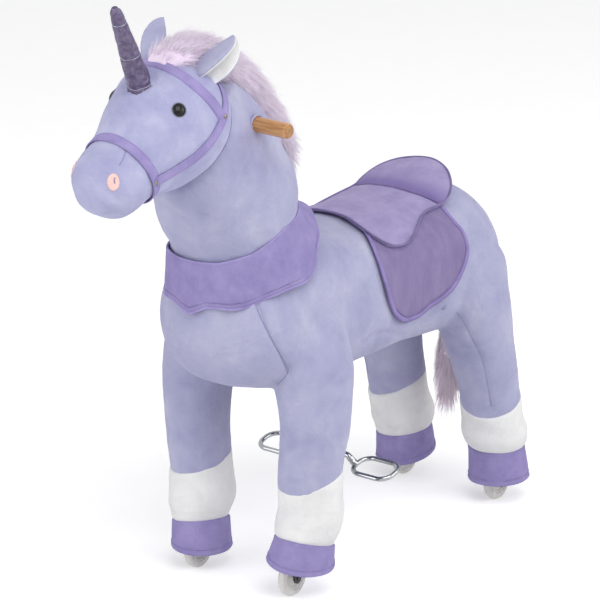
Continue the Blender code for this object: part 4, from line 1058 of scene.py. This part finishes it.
def around_head(middle, normal, first, last, count):
    """A path round the head, in a plane through a point of its middle, between two turns from upright."""
    normal = unit(np.array((0.0, *normal)))
    up = unit(np.cross(normal, ACROSS))
    up = up if up[2] > 0 else -up
    path, outs = [], []
    for turn in np.linspace(first, last, count, endpoint=abs(last - first) < 2 * math.pi - 0.01):
        way = up * math.cos(turn) + ACROSS * math.sin(turn)
        place, _ = hit(head_surface, (0.0, *middle), way, 0.0)
        path.append(place)
        outs.append(way)
    return np.array(path), np.array(outs)


def across_cheek(start, end, side, sag):
    """A path over one cheek between two places of the side view, bowed down by the sag."""
    path, outs = [], []
    for share in np.linspace(0, 1, 24):
        y, z = np.array(start) + (np.array(end) - np.array(start)) * share
        y, z = y + sag * 0.5 * math.sin(math.pi * share), z - sag * math.sin(math.pi * share)
        place, out = hit(head_surface, (0, y, z), (side, 0, 0), 0.0)
        path.append(place)
        outs.append(out)
    return np.array(path), np.array(outs)


def strap_with_stitches(name, path, outs, loop=False):
    """A felt strap laid on the head, with a row of stitches near each edge."""
    outs = unit(eased(outs, 6, loop))
    path = eased(path, 4, loop) + outs * 0.0008
    strap = make_piece(name, *sweep(path, strap_outline(STRAP_W, STRAP_T), outs, loop), strap_felt)
    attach(strap, "neck")
    closed = np.vstack([path, path[:1]]) if loop else path
    closed_outs = np.vstack([outs, outs[:1]]) if loop else outs
    aside = np.cross(unit(np.gradient(closed, axis=0)), closed_outs)
    rows = [stitches(closed + closed_outs * (STRAP_T + 0.0001) + aside * edge, closed_outs, 2.6 * MM,
                     1.4 * MM, 0.22 * MM)
            for edge in (-0.0058, 0.0058)]
    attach(make_piece(f"{name}_stitches", *joined(*rows), stitch_thread), "neck")
    return strap


# radius and rise, mm
RIVET = ((2.8, -0.6), (3.4, 0.1), (3.3, 0.6), (2.6, 1.0), (2.1, 0.9), (1.6, 1.3), (0.7, 1.5))


def make_rivet(name, y, z, side):
    """A domed rivet that pins two straps together."""
    place, out = hit(head_surface, (0, y, z), (side, 0, 0))
    out = unit(out)
    cap = [(rise * MM, reach * MM) for reach, rise in RIVET]
    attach(button(name, place + out * 0.0026, out, cap, 28, brass_rivet), "neck")


def make_bridle():
    """Noseband, cheek straps, browband and the strap behind the ears, pinned by four rivets."""
    nose, outs = around_head((-0.5020, 0.6755), (-0.885, -0.465), 0, 2 * math.pi, 90)
    noseband = strap_with_stitches("noseband", nose, outs, loop=True)
    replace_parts(noseband, "bridle")
    lean = np.array(CROWN) - np.array(CHEEK_RIVET)
    brow, outs = around_head((-0.392, 0.742), (lean[1], -lean[0]), -1.75, 1.75, 60)
    keep = brow[:, 2] > 0.7350
    strap_with_stitches("browband", brow[keep], outs[keep])
    for word, side in SIDES:
        strap_with_stitches(f"cheek_strap_{word}", *across_cheek(NOSE_RIVET, CHEEK_RIVET, side, 0.009))
        strap_with_stitches(f"poll_strap_{word}", *across_cheek(CHEEK_RIVET, (-0.359, 0.780), side, 0.0))
        make_rivet(f"nose_rivet_{word}", *NOSE_RIVET, side)
        make_rivet(f"cheek_rivet_{word}", *CHEEK_RIVET, side)


make_bridle()

HANDLE_AT, HANDLE_R, HANDLE_HALF = (0, -0.306, 0.709), 0.0108, 0.130
HEM_R = HANDLE_R + 0.0022
END_FACE = ((-0.0010, 0.0096), (0.0002, 0.0092), (0.0005, 0.0080), (0.0003, 0.0050))


def make_handle():
    """A beech dowel through the neck, its ends rounded over."""
    ends = [(0.0, 0.80), (0.0006, 0.90), (0.0018, 0.97), (0.0035, 1.0)]
    stations = [(-HANDLE_HALF + step, share) for step, share in ends] + [(0.0, 1.0)]
    stations += [(HANDLE_HALF - step, share) for step, share in ends[::-1]]
    rod = turned([(x, HANDLE_R * share) for x, share in stations], HANDLE_AT, 48)
    handle = make_piece("handle_dowel", *rod, beech_dowel)
    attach(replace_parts(handle, "handle_bar"), "neck")
    neck_surface = surface_of(neck_skin)
    for word, side in SIDES:
        place, _ = hit(neck_surface, HANDLE_AT, (side, 0, 0))
        circle = ring((place[0] + side * 0.0006, *HANDLE_AT[1:]), (1, 0, 0), HEM_R, HEM_R, 40, lean=(0, 1, 0))
        lay_cord(f"handle_hole_{word}_hem", circle, 0.0022, (side, 0, 0), lavender_plush, "neck", loop=True)
        face = [(side * (HANDLE_HALF + rise), reach) for rise, reach in END_FACE]
        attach(make_piece(f"handle_end_{word}", *turned(face, HANDLE_AT, 40), end_grain), "neck")


make_handle()


# Collar and saddle

STEER_AXIS = unit((0, -0.19, 0.98))
COLLAR_T = 0.0028
COLLAR_TOP, COLLAR_FOOT = np.array((0, -0.2725, 0.551)), np.array((0, -0.2540, 0.476))
COLLAR_WIDE, COLLAR_DEEP = (0.0885, 0.1115), (0.0975, 0.1150)
DROP_AT = (0, 6, 14, 24, 34, 44, 54, 60, 75, 90, 105, 120, 150, 180)  # degrees from straight ahead
DROP = (0.0180, 0.0130, 0.0060, 0.0055, 0.0080, 0.0095, 0.0060, 0.0025, 0.0000, -0.0005, -0.0040, -0.0090,
        -0.0120, -0.0120)
DIP_AT = (0, 150, 180, 195, 210, 225, 240, 270, 300, 330, 360)  # degrees round from the left
DIP = (0, 0, 0.0180, 0.0290, 0.0290, 0.0240, 0.0195, 0.0185, 0.0205, 0.0150, 0)


def make_collar():
    """A felt collar that hangs round the foot of the neck, pointed in front, scalloped and stitched."""
    count, rows = 216, 22
    turn = 2 * math.pi * np.arange(count) / count
    front = np.abs(np.degrees(turn) - 270)
    front = np.minimum(front, 360 - front)
    inner = []
    for share in np.linspace(0, 1, rows):
        centre = COLLAR_TOP * (1 - share) + COLLAR_FOOT * share
        across, deep = (first + (last - first) * share**1.25 for first, last in (COLLAR_WIDE, COLLAR_DEEP))
        scallop = np.interp(front, DROP_AT, DROP) * share**1.6
        dip = np.interp(np.degrees(turn), DIP_AT, DIP) * (1 - share) ** 1.5
        lift = 0.043 * share * np.clip(np.sin(turn), 0, 1) ** 1.5
        wave = 0.0022 * share**2 * np.sin(turn * 6 + 0.8) + 0.0012 * share * np.sin(turn * 11)
        wave -= 0.0030 * share * np.exp(-(((np.degrees(turn) - 210) / 9) ** 2))
        wave -= 0.0075 * share**2 * np.exp(-(((front - 50) / 26) ** 2))
        way = np.column_stack([across * np.cos(turn), deep * np.sin(turn), 0.19 * deep * np.sin(turn)])
        inner.append(centre + way * (1 + wave / across)[:, None] + np.outer(lift - scallop - dip, STEER_AXIS))
    inner = np.array(inner)
    points, faces = closed_skin(list(inner))
    points, faces = points[: rows * count], faces[: (rows - 1) * count]
    collar = make_piece("collar_cloth", points, faces, purple_felt)
    thick = collar.modifiers.new("cloth", "SOLIDIFY")
    thick.thickness, thick.offset = COLLAR_T, 1.0
    apply_modifiers(collar)
    lump(collar, (38, 0.8), (13, 0.3))
    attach(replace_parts(collar, "neck_collar"), "front")
    middle = inner.mean(1, keepdims=True)
    outward = unit((inner - middle) * (1, 1, 0.3))
    for row, reach, label in ((rows - 1, 0.0021, "lower"), (0, 0.0018, "upper")):
        edge = inner[row] + outward[row] * COLLAR_T / 2
        lay_cord(f"collar_{label}_piping", edge, reach, outward[row], strap_felt, "front", loop=True)
    seam, outs = inner[rows - 3] + outward[rows - 3] * (COLLAR_T + 0.0001), outward[rows - 3]
    threads = stitches(np.vstack([seam, seam[:1]]), np.vstack([outs, outs[:1]]), 3.6 * MM, 0.9 * MM,
                       0.45 * MM)
    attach(make_piece("collar_stitches", *threads, piping_cord), "front")


make_collar()

FLAP_EDGE = (
    (-0.042, 0.5040), (-0.052, 0.4960), (-0.066, 0.480), (-0.072, 0.4555), (-0.069, 0.4235),
    (-0.0595, 0.397), (-0.053, 0.385), (-0.044, 0.3725), (-0.031, 0.3625), (-0.016, 0.3555),
    (-0.001, 0.3530), (0.014, 0.3540), (0.029, 0.3590), (0.044, 0.3645), (0.070, 0.3690), (0.095, 0.3785),
    (0.115, 0.3970), (0.1285, 0.4190), (0.1308, 0.436), (0.129, 0.453), (0.120, 0.470), (0.1166, 0.4960),
)
SEAT_RIM = (  # the seat's left edge from the front of the back to the middle of the raised rear: x, y, z
    (0.0000, -0.0500, 0.5085), (0.0200, -0.0520, 0.5090), (0.0416, -0.0572, 0.5070),
    (0.0605, -0.0605, 0.5020), (0.0740, -0.0600, 0.4962), (0.0834, -0.0572, 0.4905),
    (0.0962, -0.0432, 0.4786), (0.1009, -0.0305, 0.4724), (0.1025, -0.0160, 0.4700),
    (0.1025, -0.0018, 0.4700), (0.1005, 0.0103, 0.4722), (0.0949, 0.0271, 0.4780), (0.0896, 0.0389, 0.4832),
    (0.0815, 0.0591, 0.4904), (0.0779, 0.0735, 0.4939), (0.0773, 0.0839, 0.4951), (0.0781, 0.0998, 0.4960),
    (0.0795, 0.1140, 0.4975), (0.0792, 0.1240, 0.5020), (0.0768, 0.1328, 0.5071), (0.0715, 0.1440, 0.5140),
    (0.0630, 0.1540, 0.5209), (0.0500, 0.1655, 0.5275), (0.0370, 0.1738, 0.5315), (0.0220, 0.1810, 0.5342),
    (0.0100, 0.1848, 0.5353), (0.0000, 0.1855, 0.5358),
)


def turn_of(place):
    """The turn from the top of the torso at which a place lies."""
    middle, wide, high = torso_at(place[1])
    return math.atan2(place[0] / wide, (place[2] - middle) / high)


def over_torso(place):
    """How far a place stands off the torso."""
    near = on_torso(place[1], turn_of(place), 0.0)
    middle = np.array((0.0, place[1], torso_at(place[1])[0]))
    return np.linalg.norm(place - middle) - np.linalg.norm(near - middle)


def turn_at(y, z):
    """The turn from the top at which the torso has a height, on its left side."""
    turns = np.linspace(0, math.pi / 2 * 1.25, 400)
    middle, _, high = torso_at(y)
    bulge = (np.cos(turns) ** 2) ** (TORSO_POWER / 2) + np.sin(turns) ** TORSO_POWER
    return float(np.interp(-z, -(middle + high * np.cos(turns) * bulge ** (-1 / TORSO_POWER)), turns))


def make_flap():
    """The saddle cloth: one sheet laid over the back, hanging on both sides under the seat."""
    left = [(y, turn_at(y, z)) for y, z in finer(FLAP_EDGE, 8)]
    edge = np.array(left + [(y, -turn) for y, turn in left[::-1]])
    levels, inner, outer = 32, [], []
    for level in range(levels):
        share = ((level + 1) / levels) ** 0.8
        low, high = [], []
        for y, turn in edge:
            y_here, turn_here = 0.010 + (y - 0.010) * share, turn * share
            place = on_torso(y_here, turn_here, 0.0022)
            middle = np.array((0.0, y_here, torso_at(y_here)[0]))
            way = unit(place - middle)
            skin = hit(body_surface, middle, way)[0]
            reach = max(np.linalg.norm(place - middle) - 0.0006, np.linalg.norm(skin - middle) + 0.0008)
            ripple = 0.0014 * share**4 * math.sin(y * 70 + turn * 9)
            low.append(middle + way * (reach + max(0.0, ripple)))
            high.append(middle + way * (reach + max(0.0, ripple) + 0.0034))
        inner.append(np.array(low))
        outer.append(np.array(high))
    flap = make_piece("saddle_flap_cloth", *closed_skin(inner + outer[::-1]), saddle_suede)
    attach(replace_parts(flap, "saddle_flap"), "front")
    rim = np.array(outer)
    out = unit(rim - np.array(inner))
    band = sweep(rim[-2] - out[-2] * 0.0004, strap_outline(0.0062, 0.0014), out[-2], loop=True)
    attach(make_piece("saddle_flap_binding", *band, rim_felt), "front")
    lay_cord("saddle_flap_piping", rim[-3] + out[-3] * 0.0001, 0.0009, out[-3], piping_cord, "front",
             loop=True)
    knot = []
    for turn in np.linspace(0, 3 * math.pi, 40):
        place = on_torso(0.084 + 0.004 * math.cos(turn * 1.3), 1.98 + 0.022 * math.sin(turn), 0.0016)
        knot.append(place + 0.0006 * math.sin(turn * 2.2) * unit(place * (1, 0, 0)))
    lay_cord("flank_thread_end", knot, 0.0003, (1.0, 0.0, 0.2), seam_thread, "front", 6)


SEAT_MIDDLE = 0.030


def crease_at(turn):
    """Where along the back the seat's crease lies."""
    return 0.0985 + 0.013 * min(1.0, max(0.0, (abs(turn) - 0.25) / 0.40))


def seat_rise(y, turn, rear):
    """How far the seat's top stands off the torso: a thin pad in front, a crease, and the raised rear."""
    side = min(abs(turn), rear[-1, 0])
    crease_y = crease_at(side)
    at_crease = 0.0080 - 0.0010 * (side / rear[-1, 0]) ** 2
    if y <= crease_y:
        near = math.exp(-(((crease_y - y) / 0.0060) ** 2))
        lobe = 0.0020 * math.exp(-(((abs(turn) - 0.66) / 0.30) ** 2))
        roll = 0.0024 * math.exp(-(((crease_y - y) / 0.030) ** 2))
        return (0.0058 + lobe + roll) * (1 - near) + at_crease * near
    rear_y, crest = np.interp(side, rear[:, 0], rear[:, 1]), np.interp(side, rear[:, 0], rear[:, 2])
    share = min(1.0, (y - crease_y) / max(0.004, rear_y - crease_y))
    climb = 0.24 * min(1.0, share / 0.10) + 0.76 * math.sin(share * math.pi / 2)
    return at_crease + (crest - at_crease) * climb


def make_seat():
    """The padded seat: a thin cushion with side lobes, a sewn crease, a raised rear and dark piping."""
    left = finer(SEAT_RIM, 6)
    rim = np.vstack([left, left[-2:0:-1] * (-1, 1, 1)])
    edge = [(place[1], turn_of(place), over_torso(place)) for place in rim]
    rear = np.array([(turn, y, over) for y, turn, over in edge[: len(left)] if y > 0.114])[::-1]
    levels, inner, outer = 44, [], []
    for level in range(levels):
        share = ((level + 1) / levels) ** 0.75
        low, high = [], []
        for y, turn, over in edge:
            y_here, turn_here = SEAT_MIDDLE + (y - SEAT_MIDDLE) * share, turn * share
            gap = math.hypot(y - SEAT_MIDDLE, turn * 0.115) * (1 - share)
            crown = math.sqrt(max(0.0, 1 - (1 - min(1.0, gap / 0.014)) ** 2))
            rise = seat_rise(y_here, turn_here, rear)
            low.append(on_torso(y_here, turn_here, 0.0050))
            high.append(on_torso(y_here, turn_here, over + (rise - over) * crown))
        inner.append(np.array(low))
        outer.append(np.array(high))
    wall = [inner[-1] + (outer[-1] - inner[-1]) * share for share in (0.35, 0.7)]
    seat = make_piece("saddle_seat_cushion", *closed_skin(inner + wall + outer[::-1]), seat_suede)
    lump(seat, (40, 0.8), (14, 0.3))
    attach(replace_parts(seat, "saddle_seat"), "front")
    top = outer[-1]
    out = unit(top - np.array((0.0, 0.04, 0.44)))
    lay_cord("saddle_seat_piping", top + out * 0.0006, 0.0016, out, piping_cord, "front", loop=True)
    # painted shade: the share of the darker tone, strongest just behind the crease where the raised rear lies
    # in shade
    crease_shade_share = []
    for place in points_of(seat):
        behind = place[1] - crease_at(turn_of(place))
        crease_shade_share.append(0.9 * math.exp(-((behind / (0.020 if behind > 0 else 0.0025)) ** 2)))
    mark_points(seat.data, "painted_crease_shade", crease_shade_share)
    seat_surface = surface_of(seat)
    crease, outs = [], []
    for turn in np.linspace(-0.66, 0.66, 90):
        y = crease_at(turn) + 0.0006
        foot = np.array((0.0, y, torso_at(y)[0]))
        way = unit(on_torso(y, turn, 0.0) - foot)
        crease.append(hit(seat_surface, foot, way, 0.0005)[0])
        outs.append(way)
    lay_cord("saddle_seat_crease_cord", eased(crease, 3), 0.0008, outs, piping_cord, "front")


make_flap()
make_seat()


# Mane and tail


def make_fur(name, points, faces, along, finish):
    """A mesh of hairs that knows how far along its hair each point is."""
    mesh = bpy.data.meshes.new(name)
    mesh.from_pydata((points + BASE).tolist(), [], faces)
    mark_points(mesh, "along_hair", along)
    return add_object(name, mesh, finish)


def spots_on(piece, count):
    """Places spread evenly at random over a piece, with the way out at each."""
    mesh = piece.data
    mesh.calc_loop_triangles()
    corners = np.empty(len(mesh.loop_triangles) * 3, int)
    mesh.loop_triangles.foreach_get("vertices", corners)
    corners = corners.reshape(-1, 3)
    points, normals = points_of(piece), normals_of(piece)
    a, b, c = (points[corners[:, k]] for k in range(3))
    area = np.linalg.norm(np.cross(b - a, c - a), axis=1)
    chosen = draw.choice(len(corners), count, p=area / area.sum())
    u, v = draw.uniform(size=count), draw.uniform(size=count)
    over = u + v > 1
    u[over], v[over] = 1 - u[over], 1 - v[over]
    weights = np.column_stack([1 - u - v, u, v])
    place = sum(points[corners[chosen, k]] * weights[:, k : k + 1] for k in range(3))
    out = unit(sum(normals[corners[chosen, k]] * weights[:, k : k + 1] for k in range(3)))
    return place, out


MANE_HAIRS, TAIL_HAIRS = 9500, 4200
MANE = (  # y, z, half width, half depth, facing y, facing z
    (-0.428, 0.803, 0.024, 0.014, 1, 0.3), (-0.403, 0.810, 0.036, 0.022, 1, 0.1),
    (-0.358, 0.804, 0.042, 0.034, 1, -0.2), (-0.312, 0.781, 0.044, 0.038, 1, -0.7),
    (-0.263, 0.742, 0.043, 0.039, 0.7, -1), (-0.227, 0.697, 0.044, 0.041, 0.5, -1),
    (-0.199, 0.655, 0.041, 0.039, 0.4, -1), (-0.186, 0.620, 0.030, 0.028, 0.3, -1),
    (-0.190, 0.596, 0.012, 0.010, 0.2, -1),
)
TAIL = (
    (0.250, 0.438, 0.012, 0.012, 1.0, 0.1), (0.270, 0.432, 0.016, 0.016, 1, -0.6),
    (0.284, 0.402, 0.019, 0.017, 0.2, -1), (0.280, 0.345, 0.021, 0.018, -0.1, -1),
    (0.262, 0.285, 0.025, 0.020, -0.2, -1), (0.246, 0.225, 0.025, 0.020, -0.2, -1),
    (0.240, 0.180, 0.018, 0.016, -0.1, -1), (0.238, 0.152, 0.008, 0.008, -0.1, -1),
)


def fur_core(name, rows, shrink, finish):
    """The form that hairs grow from, a little smaller than the fur's outside."""
    rings = [ring((0, y, z), (0, fy, fz), wide * shrink, deep * shrink, 40)
             for y, z, wide, deep, fy, fz in finer(rows, 5)]
    core = make_piece(name, *closed_skin(rounded(rings, 0.004, 0.004)), finish)
    lump(core, (16, 1.8), (7, 0.9))
    mark_points(core.data, "along_hair", np.full(len(core.data.vertices), 0.15))
    return core


def make_mane():
    """A tall crest of combed fur from the forehead down the back of the neck."""
    core = fur_core("mane_core", MANE, 0.84, pink_pile)
    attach(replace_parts(core, "mane"), "neck")
    roots, outs = spots_on(core, MANE_HAIRS)
    table = finer(MANE, 6)
    nearest = np.argmin(np.abs(roots[:, None, 1] - table[None, :, 0])
                        + np.abs(roots[:, None, 2] - table[None, :, 1]), axis=1)
    flow = unit(np.column_stack([np.zeros(MANE_HAIRS), table[nearest, 4], table[nearest, 5]]))
    tuft = np.column_stack([stuffing(roots, 15, seed) for seed in (1, 2, 3)])
    ways = unit(outs * 0.48 + flow * 0.85 + tuft * 0.22 + draw.normal(scale=0.07, size=(MANE_HAIRS, 3)))
    lengths = draw.uniform(0.020, 0.032, MANE_HAIRS)
    fur = make_fur("mane_fur", *hairs(roots - outs * 0.002, ways, lengths, 0.00042, (0, 0, -0.15), 0.10),
                   pink_pile)
    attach(fur, "neck")


def make_tail():
    """A hanging tail of straight combed fur with a frayed end."""
    core = fur_core("tail_core", TAIL, 0.7, brightened_tail_pile)
    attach(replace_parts(core, "tail"), "rear")
    roots, outs = spots_on(core, TAIL_HAIRS)
    ways = unit(outs * 0.26 + np.array((0, -0.1, -1.0)) + draw.normal(scale=0.06, size=(TAIL_HAIRS, 3)))
    lengths = draw.uniform(0.022, 0.042, TAIL_HAIRS)
    fur = make_fur("tail_fur", *hairs(roots - outs * 0.002, ways, lengths, 0.00045, (0, 0, -0.1), 0.10),
                   brightened_tail_pile)
    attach(fur, "rear")


make_mane()
make_tail()


# Wheels, stirrups and frame

WHEEL_R, WHEEL_HALF, AXLE_Z, WHEEL_SIDES = 0.027, 0.007, 0.027, 56


def make_wheel(end, word, side, sign):
    """A small clear wheel: a soft tread with rounded shoulders over a hub with a bearing boss."""
    centre = (side * HALF_TRACK, sign * AXLE_Y, AXLE_Z)
    half, r = WHEEL_HALF, WHEEL_R
    tread = [(-half, 0.0175), (-half, 0.0225), (-half * 0.86, 0.0250), (-half * 0.5, 0.0265), (0, r),
             (half * 0.5, 0.0265),
             (half * 0.86, 0.0250), (half, 0.0225), (half, 0.0175), (half * 0.6, 0.0165), (0, 0.0162),
             (-half * 0.6, 0.0165)]
    hub = [(-half * 0.55, 0.0038), (-half * 1.0, 0.0042), (-half * 1.0, 0.0072), (-half * 0.35, 0.0085),
           (-half * 0.35, 0.0130),
           (-half * 0.8, 0.0140), (-half * 0.85, 0.0172), (half * 0.85, 0.0172), (half * 0.8, 0.0140),
           (half * 0.35, 0.0130),
           (half * 0.35, 0.0085), (half * 1.0, 0.0072), (half * 1.0, 0.0042), (half * 0.55, 0.0038)]
    tyre = make_piece(f"{end}_wheel_{word}_tread", *turned(tread, centre, WHEEL_SIDES, True), clear_tread)
    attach(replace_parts(tyre, f"{end}_wheel_{word}"), f"wheel_{end}_{word}")
    middle = make_piece(f"{end}_wheel_{word}_hub", *turned(hub, centre, WHEEL_SIDES, True), hub_plastic)
    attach(middle, f"wheel_{end}_{word}")


for end, sign in (("front", -1), ("rear", 1)):
    for word, side in SIDES:
        make_wheel(end, word, side, sign)


def make_rod(name, path, radius, node=None, loop=False):
    """A smooth bent rod of plated steel in place of a faceted one."""
    rod = make_piece(name, *sweep(path, round_outline(radius, 18), (0, 0, 1), loop), chrome_rod)
    if node:
        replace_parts(rod, node)
    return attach(rod, "pedals")


LOOP_X, LOOP_Y, LOOP_CORNER, LOOP_PITCH = 0.0340, 0.0215, 0.0185, math.radians(15)
for word, side in SIDES:
    centre = np.array((side * 0.0870, -0.0530, 0.1350))
    loop_path = []
    for sx, sy, first in ((1, 1, 0), (-1, 1, 90), (-1, -1, 180), (1, -1, 270)):
        for step in range(13):
            angle = math.radians(first + 7.5 * step)
            u = sx * (LOOP_X - LOOP_CORNER) + LOOP_CORNER * math.cos(angle)
            v = sy * (LOOP_Y - LOOP_CORNER) + LOOP_CORNER * math.sin(angle)
            loop_path.append(centre + (u, v * math.cos(LOOP_PITCH), v * math.sin(LOOP_PITCH)))
    make_rod(f"stirrup_{word}_loop", loop_path, 0.0037, f"stirrup_{word}", loop=True)
    weld = [(side * x, y, z) for x, y, z in finer(((0.0440, -0.0596, 0.1452), (0.0480, -0.0585, 0.1405),
                                                   (0.0520, -0.0570, 0.1370), (0.0556, -0.0550, 0.1352)), 6)]
    bead = make_rod(f"stirrup_{word}_weld", weld, 0.0050)
    lump(bead, (5, 0.9), (2.5, 0.4))
half_bar = finer(((0.0, -0.0600, 0.1480), (0.0250, -0.0600, 0.1480), (0.0400, -0.0600, 0.1478),
                  (0.0465, -0.0592, 0.1430),
                  (0.0505, -0.0575, 0.1375)), 8)
make_rod("pedal_crossbar_rod", np.vstack([half_bar[:0:-1] * (-1, 1, 1), half_bar]), 0.0045, "pedal_crossbar")

FRAME_FINISH = {
    painted_steel: ("front_leg_tube", "rear_leg_tube", "front_cross_tube", "rear_cross_tube", "head_tube",
                    "front_rails", "rear_spine", "rear_bracket", "pedal_hanger", "front_fork",
                    "steering_post"),
    chrome_rod: ("pivot_bolt", "rear_link_pin", "pedal_shaft", "pedal_arm", "link_pin", "pedal_crossbar",
                 "stirrup", "pull_link"),
    bare_ply: ("seat_board",),
}
for finish, starts in FRAME_FINISH.items():
    for name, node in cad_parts.items():
        if name.startswith(starts):
            node.data.materials.clear()
            node.data.materials.append(finish)

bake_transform(body_skin)


# Stage


def seen_rays(tree):
    """What tells the rays that show a surface to the eye: straight, mirrored or through the clear wheels."""
    rays = add_node(tree, "LightPath")
    seen = rays.outputs["Is Camera Ray"]
    for kind in ("Is Glossy Ray", "Is Transmission Ray"):
        seen = add_node(tree, "Math", {"operation": "MAXIMUM"}, {0: seen, 1: rays.outputs[kind]})
    return seen


def make_floor():
    """A pale floor that shows white where the light falls and keeps the toy's shadow."""
    half = 9.0
    mesh = bpy.data.meshes.new("floor")
    mesh.from_pydata([(-half, -half, 0), (half, -half, 0), (half, half, 0), (-half, half, 0)], [],
                     [(0, 1, 2, 3)])
    made, tree, place = start_finish("pale_floor")
    speck = add_node(tree, "TexNoise", {"Scale": per_metre(40), "Detail": 3.0}, {"Vector": place})
    colour = add_node(tree, "ValToRGB", {"stops": [(0.2, "#F4F4F4"), (0.8, "#F8F8F8")]}, {"Fac": speck})
    matt = add_node(tree, "BsdfDiffuse", {}, {"Color": colour})
    glow = add_node(tree, "Emission", {"Color": linear("#FFFFFF"), "Strength": 0.34})
    both = add_node(tree, "AddShader", {}, {0: matt, 1: glow})
    shown = add_node(tree, "MixShader", {}, {0: seen_rays(tree), 1: matt, 2: both})
    add_node(tree, "OutputMaterial", links={"Surface": shown})
    add_object("floor", mesh, made)


def make_sky():
    """An even pale surround that shows as plain white."""
    world = bpy.data.worlds.new("studio")
    bpy.context.scene.world = world
    world.use_nodes = True
    tree = world.node_tree
    tree.nodes.clear()
    fill = add_node(tree, "Background", {"Color": linear("#FDFDFF"), "Strength": 0.48})
    white = add_node(tree, "Background", {"Color": linear("#FFFFFF"), "Strength": 1.0})
    shown = add_node(tree, "MixShader", {}, {0: seen_rays(tree), 1: fill, 2: white})
    add_node(tree, "OutputWorld", links={"Surface": shown})


LAMPS = (  # name, place, size in metres, watts
    ("key", (2.3, -1.4, 4.0), 3.2, 91), ("front_fill", (-1.5, -3.4, 1.35), 3.0, 58),
    ("side_fill", (3.3, 0.3, 1.5), 2.2, 13), ("back_rim", (3.0, 1.8, 2.2), 2.2, 34),
)
TOY_MIDDLE = Vector((0.0, 0.1, 0.45))


def add_lamp(name, place, size, watts):
    """A soft square lamp that points at the toy."""
    lamp = bpy.data.lights.new(name, "AREA")
    lamp.size, lamp.energy = size, watts
    made = bpy.data.objects.new(name, lamp)
    made.location = place
    made.rotation_euler = (TOY_MIDDLE - Vector(place)).to_track_quat("-Z", "Y").to_euler()
    bpy.context.scene.collection.objects.link(made)


CAMERA_TURN, CAMERA_LIFT, CAMERA_AWAY = 38.6, 18.2, 6.0
CAMERA_AIM = Vector((0, 0.015, 0.393))


def make_camera():
    """The camera, in front of the toy's left shoulder and a little above it."""
    turn, lift = math.radians(CAMERA_TURN), math.radians(CAMERA_LIFT)
    back = Vector((math.sin(turn) * math.cos(lift), -math.cos(turn) * math.cos(lift), math.sin(lift)))
    lens = bpy.data.cameras.new("camera")
    lens.lens, lens.sensor_width, lens.clip_end = 250.5, 36.0, 60.0
    camera = bpy.data.objects.new("camera", lens)
    camera.location = CAMERA_AIM + back * CAMERA_AWAY
    camera.rotation_euler = (-back).to_track_quat("-Z", "Y").to_euler()
    bpy.context.scene.collection.objects.link(camera)
    bpy.context.scene.camera = camera


make_floor()
make_sky()
for lamp in LAMPS:
    add_lamp(*lamp)
make_camera()
bpy.context.scene.view_settings.view_transform = "Standard"
